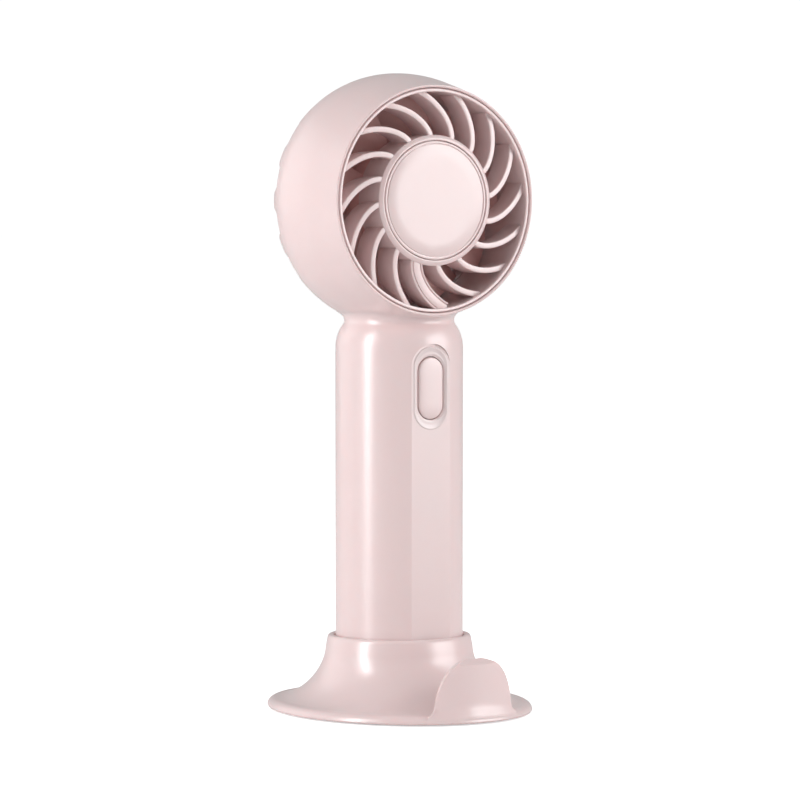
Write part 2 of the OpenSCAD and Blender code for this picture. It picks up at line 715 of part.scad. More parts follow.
module power_leads() color(black) for (s = [-1, 1]) translate([s * power_x, 0, 0]) {
    rear_y = charge_y + charge_t + wire_r;
    front_y = -control_face + pcb_t / 2;
    translate([0, rear_y, charge_z1 - 2]) cylinder(r = wire_r, h = power_z - charge_z1 + 2 + wire_r);
    translate([-wire_r, front_y, power_z - wire_r]) cube([2 * wire_r, rear_y - front_y, 2 * wire_r]);
    translate([0, front_y, power_z - wire_r]) cylinder(r = wire_r, h = control_z0 - power_z + wire_r);
}

module charge_board() color(board_green) translate([-charge_half, charge_y, charge_z0])
    cube([2 * charge_half, charge_t, charge_z1 - charge_z0]);

module charge_board_parts() color(black) {
    translate([-2.5, charge_y + charge_t, port_z + 6]) cube([5, 1, 4]);
    translate([-7.5, charge_y + charge_t, port_z + 6]) cube([3, 1.4, 3]);
}

module usb_c_port() color("silver") on_rear(port_z) {
    back = charge_y + charge_t;
    difference() {
        translate([0, 0, back]) linear_extrude(port_mouth - back) port_outline(0);
        translate([0, 0, port_mouth - 6.6]) linear_extrude(8) port_outline(-0.3);
    }
    translate([-3.3, -0.35, port_mouth - 6.7]) cube([6.6, 0.7, 5.2]);
}

cap_edge_r = handle_r - 0.4;
cap_screw_x = handle_in_r - 4;

module bottom_cap() color(pink) difference() {
    union() {
        translate([0, 0, fan_bottom]) cylinder(r1 = cap_edge_r - 0.8, r2 = cap_edge_r, h = 0.8);
        translate([0, 0, fan_bottom + 0.8]) cylinder(r = cap_edge_r, h = tube_bottom - fan_bottom - 0.8);
        translate([0, 0, tube_bottom - eps]) cylinder(r = handle_in_r - 0.1, h = cap_spigot_top - tube_bottom + eps);
    }
    translate([-handle_r, -handle_r - 2, fan_bottom - cut]) cube([handle_d, flat_inset + 2.4, tube_bottom - fan_bottom + cut]);
    for (s = [-1, 1]) translate([s * cap_screw_x, 0, 0]) {
        translate([0, 0, fan_bottom - cut]) cylinder(r = 0.9, h = 10);
        translate([0, 0, fan_bottom - cut]) cylinder(r = 1.9, h = cut + 1.3);
    }
}

module bottom_cap_screws() color(steel) for (s = [-1, 1]) translate([s * cap_screw_x, 0, fan_bottom + 0.2]) {
    cylinder(r = 1.7, h = 1.1);
    cylinder(r = 0.9, h = cap_spigot_top - fan_bottom - 0.2);
}

// Levels of the stand's outside from the table up, as share and height
stand_levels = concat(
    [[0.972, skirt_z]],
    [for (i = [0:3]) [flange_share + (1 - flange_share) * cos(30 * i), edge_z + (flange_z - edge_z) * sin(30 * i)]],
    [for (i = [1:9]) let (z = flange_z + (collar_foot_z - flange_z) * pow(i / 9, 1.5)) [bell_share(z), z]],
    [[0.012, collar_z - 0.8], [0, collar_z - 0.4], [-0.03, collar_z]]
);

module bell() loft([for (v = stand_levels) oval(v[0], v[1], 0, 56)]);

module bell_hollow() {
    top = collar_foot_z - stand_wall;
    loft([for (i = [0:5]) let (z = plate_top - eps + (top - plate_top) * pow(i / 5, 1.3))
        oval(bell_share(z + stand_wall), z, stand_wall, 40)]);
}

module screw_places() for (sx = [-1, 1]) for (sy = [-1, 1])
    translate([sx * screw_spread * cos(45), sy * screw_spread * sin(45), 0]) children();

module tab_outline() intersection() {
    polygon([for (i = [0:32]) [tab_half * cos(180 * i / 32), edge_z + tab_rise * sin(180 * i / 32)]]);
    translate([-tab_half, skirt_z + 0.2]) square([2 * tab_half, tab_z - skirt_z - 0.2]);
}

module phone_tab() difference() {
    intersection() {
        on_front(0) linear_extrude(half_y + 2) tab_outline();
        translate([0, tab_curve - half_y + 0.7, 0]) difference() {
            cylinder(r = tab_curve, h = tab_z + 1);
            translate([0, 0, flange_z - 0.6]) cylinder(r = tab_curve - tab_t, h = tab_z + 2);
        }
        translate([-tab_half, -half_y, 0]) cube([2 * tab_half, 12, tab_z]);
    }
    translate([0, -half_y + 0.7, tab_z - 1.4]) rotate([31, 0, 0]) translate([-tab_half, -4, 0]) cube([2 * tab_half, 12, 5]);
}

module stand_body() color(pink) difference() {
    union() {
        difference() {
            bell();
            difference() {
                bell_hollow();
                cylinder(r = socket_r + stand_wall - 0.1, h = collar_z);
                screw_places() cylinder(r = 2.2, h = 8);
            }
        }
        phone_tab();
    }
    difference() {
        translate([0, 0, socket_floor]) cylinder(r = socket_r, h = collar_z);
        translate([-socket_r, -socket_r - 1, 0]) cube([2 * socket_r, socket_r + 1 - flat_y - key_gap, key_z]);
    }
    plate_pocket();
    screw_places() translate([0, 0, plate_top - eps]) cylinder(r = 0.9, h = 3.5);
}

module plate_pocket() translate([0, 0, -cut]) linear_extrude(plate_top + cut)
    polygon([for (i = [0:71]) let (p = stand_oval(plate_inset - 0.2, i * 5)) p]);

function stand_oval(inset, a) = [(half_x - inset) * cos(a), (half_y - inset) * sin(a)];

module oval_plate(inset, t) linear_extrude(t) polygon([for (i = [0:71]) stand_oval(inset, i * 5)]);

module stand_plate() color(steel) difference() {
    translate([0, 0, pad_t]) oval_plate(plate_inset, plate_t);
    screw_places() translate([0, 0, pad_t - cut]) cylinder(r = 1.1, h = plate_t + 2 * cut);
    screw_places() translate([0, 0, pad_t - cut]) cylinder(r = 2.1, h = cut + 1);
}

module stand_screws() color(steel) screw_places() translate([0, 0, pad_t + 0.1]) {
    cylinder(r = 1.9, h = 0.9);
    cylinder(r = 0.9, h = plate_t + 3.2);
}

module foot_pad() color([0.35, 0.33, 0.33]) oval_plate(plate_inset, pad_t);

housing();
front_grille();
hub_disc();
rear_grille();
bearing_tube();
front_bearing();
rear_bearing();
motor_board();
motor_screws();
stator_core();
stator_windings();
motor_leads();
impeller();
rotor_can();
rotor_magnet();
motor_shaft();
shaft_clip();
button_bezel();
button_cap();
switch_plunger();
switch_body();
control_board();
control_board_parts();
control_board_screws();
cell_carrier();
battery_cell();
cell_tabs();
cell_leads();
power_leads();
charge_board();
charge_board_parts();
usb_c_port();
bottom_cap();
bottom_cap_screws();
stand_body();
stand_plate();
stand_screws();
foot_pad();
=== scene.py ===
"""Handheld electric fan in its oval desk stand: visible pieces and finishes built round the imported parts."""

import logging
import math
from dataclasses import dataclass
from enum import Enum

import bmesh
import bpy
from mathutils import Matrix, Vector


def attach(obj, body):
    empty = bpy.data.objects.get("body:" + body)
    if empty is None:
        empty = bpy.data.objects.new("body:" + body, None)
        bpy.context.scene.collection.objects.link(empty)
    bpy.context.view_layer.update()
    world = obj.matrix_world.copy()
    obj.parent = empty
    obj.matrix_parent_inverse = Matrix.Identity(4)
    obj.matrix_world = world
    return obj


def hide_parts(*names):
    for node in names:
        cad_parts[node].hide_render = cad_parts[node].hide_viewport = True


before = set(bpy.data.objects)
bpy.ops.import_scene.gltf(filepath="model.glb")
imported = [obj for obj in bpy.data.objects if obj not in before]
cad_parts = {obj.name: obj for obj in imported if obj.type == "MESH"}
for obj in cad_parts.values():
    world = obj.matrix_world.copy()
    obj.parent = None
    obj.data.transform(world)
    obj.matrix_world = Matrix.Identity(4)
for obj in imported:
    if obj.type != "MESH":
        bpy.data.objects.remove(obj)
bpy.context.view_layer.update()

LOG = logging.getLogger("fan")
MM = 0.001
MERGE = 2e-6  # metres; points closer than this are one
HEAD_Z = 151.9  # level of the blades' axis
HEAD_FRONT = 20.6  # reach of the front rim before the handle's axis
BUTTON_Z = 96.7  # level of the button's middle
HEAD_STEPS = 256
BODY_STEPS = 192
NECK_MARK = 200.0  # levels from here up mark the neck's rows until they are fitted
CAP_MARK = 300.0  # levels from here up mark the neck's closing rows
COAT_ROUGHNESS = 0.28
DUST_COLOUR = (0.8, 0.78, 0.76, 1)
Row = tuple[float, float]
Colour = tuple[float, float, float]


class Cut(Enum):
    """What a boolean does with the second piece."""

    AWAY = "DIFFERENCE"
    ADD = "UNION"


class About(Enum):
    """The axes that pieces are turned about.

    A height is a depth behind the front rim, a level over the table, or a reach forward of the handle's axis.
    """

    BLADES = "blades"
    UPRIGHT = "upright"
    BUTTON = "button"

    def place(self, u: float, v: float, h: float) -> Vector:
        """Point in metres for face coordinates and a height in millimetres.

        Args:
            u: Sideways distance from the axis.
            v: Second distance from the axis, upward for the two level axes.
            h: Height along the axis.

        Returns:
            The point in the shared frame.
        """
        if self is About.BLADES:
            return Vector((u, h - HEAD_FRONT, HEAD_Z + v)) * MM
        if self is About.BUTTON:
            return Vector((u, -h, BUTTON_Z + v)) * MM
        return Vector((u, v, h)) * MM

    def turn(self, r: float, degrees: float, h: float) -> Vector:
        """Point at a radius, an angle and a height."""
        a = math.radians(degrees)
        return self.place(r * math.cos(a), r * math.sin(a), h)

    @property
    def direction(self) -> Vector:
        """Unit vector along which heights grow."""
        return (self.place(0, 0, 1) - self.place(0, 0, 0)).normalized()


def arc(cx: float, cy: float, r: float, a0: float, a1: float, n: int) -> list[Row]:
    """Points of an arc.

    Args:
        cx: Centre, first coordinate.
        cy: Centre, second coordinate.
        r: Radius.
        a0: First angle in degrees.
        a1: Last angle in degrees.
        n: Number of steps.

    Returns:
        The points, both ends included.
    """
    steps = [math.radians(a0 + (a1 - a0) * i / n) for i in range(n + 1)]
    return [(cx + r * math.cos(a), cy + r * math.sin(a)) for a in steps]


def oblong_outline(r: float, reach: float, count: int, upright: bool) -> list[Row]:
    """Points of an oblong with round ends.

    Args:
        r: Radius of the ends.
        reach: Distance from the middle to the centre of each end.
        count: Number of points.
        upright: Whether the ends lie above and below the middle.

    Returns:
        The points, once round.
    """
    points = []
    for i in range(count):
        a = math.tau * (i + 0.5) / count
        u, v = r * math.cos(a), r * math.sin(a)
        shift = math.copysign(reach, v if upright else u)
        points.append((u, v + shift) if upright else (u + shift, v))
    return points


class Bench:
    """The modelling bench: every new mesh is started, shaped and finished here."""

    @staticmethod
    def clear() -> None:
        """Leaves edit mode and deselects everything."""
        if bpy.context.object and bpy.context.object.mode != "OBJECT":
            bpy.ops.object.mode_set(mode="OBJECT")
        bpy.ops.object.select_all(action="DESELECT")

    @staticmethod
    def pick(obj: bpy.types.Object) -> None:
        """Makes one object the only selected one and the active one."""
        Bench.clear()
        obj.select_set(True)
        bpy.context.view_layer.objects.active = obj

    @staticmethod
    def close_up(obj: bpy.types.Object) -> bpy.types.Object:
        """Merges doubles, turns faces outward and puts the place into the mesh."""
        Bench.pick(obj)
        bpy.ops.object.mode_set(mode="EDIT")
        bpy.ops.mesh.select_all(action="SELECT")
        bpy.ops.mesh.remove_doubles(threshold=MERGE)
        bpy.ops.mesh.normals_make_consistent(inside=False)
        bpy.ops.object.mode_set(mode="OBJECT")
        bpy.ops.object.transform_apply(location=True, rotation=True, scale=True)
        return obj

    @staticmethod
    def lathe(
        name: str, rows: list[Row], about: About, steps: int, loop: bool = True, start: float = 0.0
    ) -> bpy.types.Object:
        """Turns a profile about an axis.

        Args:
            name: Name of the piece.
            rows: Profile as radius and height.
            about: Axis to turn about.
            steps: Number of faces round the axis.
            loop: Whether the profile runs back to its first row.
            start: Angle of the first profile in degrees.

        Returns:
            The closed piece.
        """
        Bench.clear()
        points = [about.turn(r, start, h) for r, h in rows]
        if loop:
            points.append(points[0])
        bpy.ops.mesh.primitive_plane_add(size=MM, location=points[0])
        obj = bpy.context.object
        obj.name = obj.data.name = name
        bpy.ops.object.mode_set(mode="EDIT")
        bpy.ops.mesh.select_all(action="SELECT")
        bpy.ops.mesh.merge(type="CENTER")
        for a, b in zip(points, points[1:]):
            bpy.ops.mesh.extrude_vertices_move(TRANSFORM_OT_translate={"value": b - a})
        bpy.ops.mesh.select_all(action="SELECT")
        bpy.ops.mesh.spin(steps=steps, angle=math.tau, center=about.place(0, 0, 0), axis=about.direction)
        return Bench.close_up(obj)

    @staticmethod
    def sweep(name: str, sections: list[list[Vector]]) -> bpy.types.Object:
        """Extrudes a closed outline through a row of sections that have the same number of points.

        Args:
            name: Name of the piece.
            sections: Outlines in metres, in order.

        Returns:
            The closed piece.
        """
        Bench.clear()
        count = len(sections[0])
        bpy.ops.mesh.primitive_circle_add(vertices=count, radius=MM, fill_type="NGON")
        obj = bpy.context.object
        obj.name = obj.data.name = name
        for vertex, point in zip(obj.data.vertices, sections[0]):
            vertex.co = point
        bpy.ops.object.mode_set(mode="EDIT")
        bpy.ops.mesh.select_all(action="SELECT")
        for last, new in zip(sections, sections[1:]):
            bpy.ops.mesh.extrude_region_move(TRANSFORM_OT_translate={"value": (0, 0, 0)})
            mesh = bmesh.from_edit_mesh(obj.data)
            for vertex in [v for v in mesh.verts if v.select]:
                nearest = min(range(count), key=lambda i: (last[i] - vertex.co).length_squared)
                vertex.co = new[nearest]
            bmesh.update_edit_mesh(obj.data)
        return Bench.close_up(obj)

    @staticmethod
    def prism(name: str, outline: list[Row], about: About, h0: float, h1: float) -> bpy.types.Object:
        """Straight block on an outline of face coordinates, between two heights."""
        return Bench.sweep(name, [[about.place(u, v, h) for u, v in outline] for h in (h0, h1)])

    @staticmethod
    def modify(obj: bpy.types.Object, kind: str, **values: object) -> None:
        """Adds a modifier with the given values and applies it."""
        Bench.pick(obj)
        modifier = obj.modifiers.new(kind.lower(), kind)
        for key, value in values.items():
            setattr(modifier, key, value)
        bpy.ops.object.modifier_apply(modifier=modifier.name)

    @staticmethod
    def combine(target: bpy.types.Object, other: bpy.types.Object, how: Cut) -> None:
        """Applies a boolean with another piece, which is then removed."""
        Bench.modify(target, "BOOLEAN", operation=how.value, object=other, solver="EXACT")
        bpy.data.objects.remove(other)

    @staticmethod
    def join(target: bpy.types.Object, others: list[bpy.types.Object]) -> bpy.types.Object:
        """Joins pieces into one object."""
        Bench.pick(target)
        for other in others:
            other.select_set(True)
        bpy.ops.object.join()
        return target

    @staticmethod
    def ring_of(first: bpy.types.Object, count: int, about: About) -> list[bpy.types.Object]:
        """Copies a piece round an axis, each copy with its own mesh.

        Args:
            first: The piece at its first place, which is one of the result.
            count: Number of pieces.
            about: Axis to repeat about.

        Returns:
            All the pieces.
        """
        made = [first]
        level = about is About.BLADES
        centre = about.place(0, 0, 0)
        for i in range(1, count):
            twin = first.copy()
            twin.data = first.data.copy()
            bpy.context.collection.objects.link(twin)
            angle = math.tau * i / count
            for vertex in twin.data.vertices:
                from_centre = vertex.co - centre
                u, v = from_centre.x, from_centre.z if level else from_centre.y
                side = u * math.cos(angle) - v * math.sin(angle)
                up = u * math.sin(angle) + v * math.cos(angle)
                turned = (side, from_centre.y, up) if level else (side, up, from_centre.z)
                vertex.co = centre + Vector(turned)
            made.append(twin)
        return made

    @staticmethod
    def smooth(obj: bpy.types.Object, degrees: float = 25.0) -> None:
        """Shades smooth across edges flatter than an angle."""
        Bench.pick(obj)
        bpy.ops.object.shade_smooth_by_angle(angle=math.radians(degrees))

    @staticmethod
    def oblong(obj: bpy.types.Object, rows: list[tuple[float, float, float]]) -> bpy.types.Object:
        """Draws a turned piece about the button's axis out into an upright oblong.

        Args:
            obj: The turned piece, with no vertex level with the axis.
            rows: Half width, half length and height of every row of the profile.

        Returns:
            The same piece.
        """
        Bench.pick(obj)
        bpy.ops.object.mode_set(mode="EDIT")
        mesh = bmesh.from_edit_mesh(obj.data)
        for vertex in mesh.verts:
            side, reach, up = vertex.co.x / MM, -vertex.co.y / MM, vertex.co.z / MM - BUTTON_Z
            radius = math.hypot(side, up)
            width, length, _ = min(rows, key=lambda row: (row[0] - radius) ** 2 + (row[2] - reach) ** 2)
            vertex.co.z += math.copysign(length - width, up) * MM
        bmesh.update_edit_mesh(obj.data)
        return Bench.close_up(obj)


def linear(colour: tuple[int, int, int]) -> Colour:
    """Scene-linear value of a colour given as red, green and blue from 0 to 255."""
    scaled = [c / 255 for c in colour]
    return tuple(c / 12.92 if c <= 0.04045 else ((c + 0.055) / 1.055) ** 2.4 for c in scaled)


class Pattern(Enum):
    """Surface patterns that the shared groups draw."""

    GRAIN = "moulded_grain"
    BRUSHED = "brushed_lines"
    TURNS = "wire_turns"
    BOARD = "board_tracks"
    FOAM = "foam_cells"


def add_node(
    tree: bpy.types.NodeTree, kind: str, inputs: dict[str | int, object], **settings: object
) -> bpy.types.Node:
    """Adds a shader node, sets its options and then fills its inputs.

    Args:
        tree: The tree that gets the node.
        kind: The node's kind, without the common first part of its name.
        inputs: A number, colour or socket to link for each named or numbered input.
        **settings: Options of the node.

    Returns:
        The new node.
    """
    node = tree.nodes.new("ShaderNode" + kind)
    for key, value in settings.items():
        setattr(node, key, value)
    for key, value in inputs.items():
        if isinstance(value, bpy.types.NodeSocket):
            tree.links.new(value, node.inputs[key])
        else:
            node.inputs[key].default_value = value
    return node


class Groups:
    """The shared shader node groups, each built once."""

    made: dict[str, bpy.types.NodeTree] = {}

    @classmethod
    def shell(cls, name: str, inputs: dict[str, float | Colour], outputs: dict[str, str]) -> tuple:
        """Starts an empty group.

        Args:
            name: Name of the group.
            inputs: Names of the inputs and their first values.
            outputs: Names of the outputs and their socket kinds.

        Returns:
            The tree, its input node and its output node.
        """
        tree = bpy.data.node_groups.new(name, "ShaderNodeTree")
        for label, value in inputs.items():
            kind = "NodeSocketFloat" if isinstance(value, (int, float)) else "NodeSocketColor"
            socket = tree.interface.new_socket(label, in_out="INPUT", socket_type=kind)
            socket.default_value = value if isinstance(value, (int, float)) else (*value, 1)
        for label, kind in outputs.items():
            tree.interface.new_socket(label, in_out="OUTPUT", socket_type=kind)
        cls.made[name] = tree
        return tree, tree.nodes.new("NodeGroupInput"), tree.nodes.new("NodeGroupOutput")

    @staticmethod
    def noise(
        tree: bpy.types.NodeTree, vector: bpy.types.NodeSocket, scale: object, detail: float
    ) -> bpy.types.NodeSocket:
        """Value of a noise texture on a vector; scale is a number or a socket."""
        inputs = {"Vector": vector, "Scale": scale, "Detail": detail}
        return add_node(tree, "TexNoise", inputs).outputs["Fac"]

    @staticmethod
    def maths(tree: bpy.types.NodeTree, kind: str, a: object, b: object) -> bpy.types.NodeSocket:
        """Result of a maths node on two numbers or sockets."""
        return add_node(tree, "Math", {0: a, 1: b}, operation=kind).outputs[0]

    @classmethod
    def tone(cls) -> bpy.types.NodeTree:
        """Broad, faint change of colour over a surface, and a little dust in it."""
        if "tone" in cls.made:
            return cls.made["tone"]
        white = (1, 1, 1)
        tree, given, out = cls.shell(
            "tone",
            {"Base": white, "Second": white, "Scale": 60.0, "Dust": 0.0, "Dust Colour": white},
            {"Colour": "NodeSocketColor"},
        )
        place = add_node(tree, "TexCoord", {}).outputs["Object"]
        broad = cls.noise(tree, place, given.outputs["Scale"], 4.0)
        specks = cls.noise(tree, place, 1900.0, 2.0)
        inputs = {"Factor": broad, "A": given.outputs["Base"], "B": given.outputs["Second"]}
        blend = add_node(tree, "Mix", inputs, data_type="RGBA")
        mask = add_node(tree, "MapRange", {"From Min": 0.66, "From Max": 0.78, "Value": specks})
        share = cls.maths(tree, "MULTIPLY", mask.outputs["Result"], given.outputs["Dust"])
        inputs = {"Factor": share, "A": blend.outputs["Result"], "B": given.outputs["Dust Colour"]}
        dust = add_node(tree, "Mix", inputs, data_type="RGBA")
        tree.links.new(dust.outputs["Result"], out.inputs["Colour"])
        return tree

    @classmethod
    def pattern(cls, which: Pattern) -> bpy.types.NodeTree:
        """Height and mask of a surface pattern.

        Args:
            which: The pattern.

        Returns:
            A group with a Scale input and the outputs Height, Mask and Roughness.
        """
        if which.value in cls.made:
            return cls.made[which.value]
        tree, given, out = cls.shell(
            which.value,
            {"Scale": 1000.0, "Roughness": 0.4, "Spread": 0.05},
            dict.fromkeys(("Height", "Mask", "Roughness"), "NodeSocketFloat"),
        )
        place = add_node(tree, "TexCoord", {}).outputs["Object"]
        scale = given.outputs["Scale"]
        on_place = {"Vector": place, "Scale": scale}
        if which is Pattern.BRUSHED:
            stretch = add_node(tree, "Mapping", {"Vector": place, "Scale": (1, 1, 14)})
            fine = cls.noise(tree, stretch.outputs["Vector"], scale, 3.0)
        elif which is Pattern.TURNS:
            wave = add_node(tree, "TexWave", {**on_place, "Distortion": 0.6}, bands_direction="DIAGONAL")
            fine = wave.outputs["Fac"]
        elif which is Pattern.BOARD:
            tracks = add_node(tree, "TexVoronoi", on_place, distance="MANHATTAN", feature="F2")
            fine = cls.maths(tree, "LESS_THAN", tracks.outputs["Distance"], 0.62)
        elif which is Pattern.FOAM:
            fine = add_node(tree, "TexVoronoi", on_place).outputs["Distance"]
        else:
            fine = cls.noise(tree, place, scale, 2.0)
        broad = cls.noise(tree, place, 140.0, 3.0)
        both = cls.maths(tree, "ADD", cls.maths(tree, "MULTIPLY", fine, 0.4), broad)
        centred = cls.maths(tree, "SUBTRACT", both, 0.7)
        spread = cls.maths(tree, "MULTIPLY", centred, given.outputs["Spread"])
        rough = cls.maths(tree, "ADD", spread, given.outputs["Roughness"])
        for label, value in (("Roughness", rough), ("Height", fine), ("Mask", fine)):
            tree.links.new(value, out.inputs[label])
        return tree


@dataclass(frozen=True)
class Finish:
    """A finish of one material: colours, gloss and the pattern of its surface."""

    name: str
    colour: tuple[int, int, int]
    second: tuple[int, int, int]
    roughness: float
    pattern: Pattern
    pattern_scale: float
    bump: float
    metallic: float = 0.0
    spread: float = 0.06
    coat: float = 0.0
    pattern_colour: tuple[int, int, int] | None = None
    dust: float = 0.0
    subsurface: float = 0.0
    tone_scale: float = 60.0
    specular: float = 0.5

    def material(self) -> bpy.types.Material:
        """Builds the node material, or gives it if it is there already."""
        if self.name in bpy.data.materials:
            return bpy.data.materials[self.name]
        made = bpy.data.materials.new(self.name)
        made.use_nodes = True
        tree = made.node_tree
        shader = tree.nodes["Principled BSDF"]
        values = {
            "Metallic": self.metallic,
            "Coat Weight": self.coat,
            "Coat Roughness": COAT_ROUGHNESS,
            "Specular IOR Level": self.specular,
        }
        if self.subsurface:
            values["Subsurface Weight"] = self.subsurface
            values["Subsurface Scale"] = 0.002
            values["Subsurface Radius"] = (1.0, 0.35, 0.3)
        for label, value in values.items():
            shader.inputs[label].default_value = value
        inputs = {
            "Base": (*linear(self.colour), 1),
            "Second": (*linear(self.second), 1),
            "Scale": self.tone_scale,
            "Dust": self.dust,
            "Dust Colour": DUST_COLOUR,
        }
        tone = add_node(tree, "Group", inputs, node_tree=Groups.tone())
        inputs = {"Scale": self.pattern_scale, "Roughness": self.roughness, "Spread": self.spread}
        surface = add_node(tree, "Group", inputs, node_tree=Groups.pattern(self.pattern))
        colour = tone.outputs["Colour"]
        if self.pattern_colour:
            tint = (*linear(self.pattern_colour), 1)
            inputs = {"Factor": surface.outputs["Mask"], "A": colour, "B": tint}
            colour = add_node(tree, "Mix", inputs, data_type="RGBA").outputs["Result"]
        inputs = {"Strength": 1.0, "Distance": self.bump * MM, "Height": surface.outputs["Height"]}
        bump = add_node(tree, "Bump", inputs)
        tree.links.new(colour, shader.inputs["Base Color"])
        tree.links.new(surface.outputs["Roughness"], shader.inputs["Roughness"])
        tree.links.new(bump.outputs["Normal"], shader.inputs["Normal"])
        return made


PINK = Finish(
    "satin_pink", (232, 210, 209), (229, 206, 205), 0.3, Pattern.GRAIN, 3800, 0.004,
    spread=0.05, coat=0.6, subsurface=0.15, specular=0.7,
)
# Blades: a darker, redder rose than the shell. The darkness is painted shade for the fan's shadowed inside; the dust
# is real dust.
BLADE_PAINTED_SHADE = Finish("blade_pink_painted_shade", (236, 194, 190), (230, 186, 182), 0.38, Pattern.GRAIN, 3800, 0.005, dust=0.3)
SCREW = Finish("screw_steel", (186, 188, 192), (168, 170, 176), 0.28, Pattern.BRUSHED, 900, 0.01, metallic=1.0)
BEARING = Finish("bearing_steel", (205, 206, 210), (190, 192, 196), 0.18, Pattern.BRUSHED, 1600, 0.004, metallic=1.0)
CAN = Finish("can_steel", (170, 172, 178), (150, 153, 160), 0.3, Pattern.BRUSHED, 700, 0.01, metallic=1.0)
CORE = Finish("core_steel", (92, 90, 92), (70, 70, 74), 0.45, Pattern.BRUSHED, 2600, 0.02, metallic=0.9)
MAGNET = Finish("magnet", (66, 64, 66), (48, 47, 50), 0.5, Pattern.GRAIN, 5000, 0.02, metallic=0.4)
BRASS = Finish("brass", (206, 166, 92), (188, 148, 78), 0.26, Pattern.BRUSHED, 1200, 0.006, metallic=1.0)
COPPER = Finish(
    "winding_copper", (190, 104, 54), (168, 84, 44), 0.3, Pattern.TURNS, 1500, 0.12, metallic=0.9,
    pattern_colour=(214, 132, 76), coat=0.4,
)
CIRCUIT = Finish(
    "circuit_board", (22, 84, 52), (16, 66, 44), 0.32, Pattern.BOARD, 420, 0.02,
    pattern_colour=(38, 112, 70), coat=0.4,
)
RED_WIRE = Finish("red_wire", (168, 30, 28), (148, 22, 24), 0.42, Pattern.GRAIN, 2400, 0.02)
BLACK_WIRE = Finish("black_wire", (34, 33, 35), (24, 24, 26), 0.45, Pattern.GRAIN, 2400, 0.02, dust=0.2)
BLACK = Finish("black_plastic", (38, 38, 41), (28, 28, 31), 0.46, Pattern.GRAIN, 3000, 0.02, dust=0.25)
WHITE = Finish("white_plastic", (226, 224, 218), (216, 213, 206), 0.44, Pattern.GRAIN, 2600, 0.012, dust=0.1)
WRAP = Finish("cell_wrap", (44, 138, 120), (36, 122, 108), 0.3, Pattern.GRAIN, 900, 0.02, coat=0.3)
NICKEL = Finish("nickel", (198, 194, 184), (182, 178, 168), 0.25, Pattern.BRUSHED, 1100, 0.006, metallic=1.0)
PORT = Finish("port_metal", (188, 190, 194), (172, 174, 180), 0.22, Pattern.BRUSHED, 1500, 0.004, metallic=1.0)
PLATE = Finish("plate_steel", (138, 140, 146), (118, 120, 128), 0.38, Pattern.BRUSHED, 500, 0.02, metallic=1.0)
RUBBER = Finish("pad_rubber", (92, 84, 84), (80, 73, 74), 0.75, Pattern.FOAM, 1400, 0.08, dust=0.3)


def dress(obj: bpy.types.Object, finish: Finish, body: str, slot: str, *nodes: str) -> None:
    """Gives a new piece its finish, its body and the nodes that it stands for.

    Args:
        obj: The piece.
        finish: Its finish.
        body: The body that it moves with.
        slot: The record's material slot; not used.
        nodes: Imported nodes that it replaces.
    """
    obj.data.materials.clear()
    obj.data.materials.append(finish.material())
    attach(obj, body)
    if nodes:
        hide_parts(*nodes)
    LOG.info("%s: %d faces, rides on %s", obj.name, len(obj.data.polygons), body)


@dataclass
class Skin:
    """The head's turned outside, in millimetres."""

    rim_r: float = 33.8
    belly_r: float = 37.7
    slope: float = 12.9
    front_curve: float = 46.0
    rear_curve: float = 28.0

    @property
    def flare_end(self) -> float:
        """Depth at which the straight flare ends."""
        drop = self.front_curve * (1 - math.cos(math.radians(self.slope)))
        return (self.belly_r - self.rim_r - drop) / math.tan(math.radians(self.slope))

    @property
    def belly(self) -> float:
        """Depth of the widest place."""
        return self.flare_end + self.front_curve * math.sin(math.radians(self.slope))

    def radius(self, depth: float) -> float:
        """Radius of the outside at a depth behind the front rim."""
        if depth < self.flare_end:
            return self.rim_r + depth * math.tan(math.radians(self.slope))
        curve = self.front_curve if depth < self.belly else self.rear_curve
        return self.belly_r - curve + math.sqrt(curve**2 - (depth - self.belly) ** 2)

    def underside(self, x: float, y: float) -> float:
        """Level of the head's underside over a point of the table."""
        depth = min(max(y + HEAD_FRONT, 0.0), 40.0)
        return HEAD_Z - math.sqrt(max(self.radius(depth) ** 2 - x**2, 0.0))


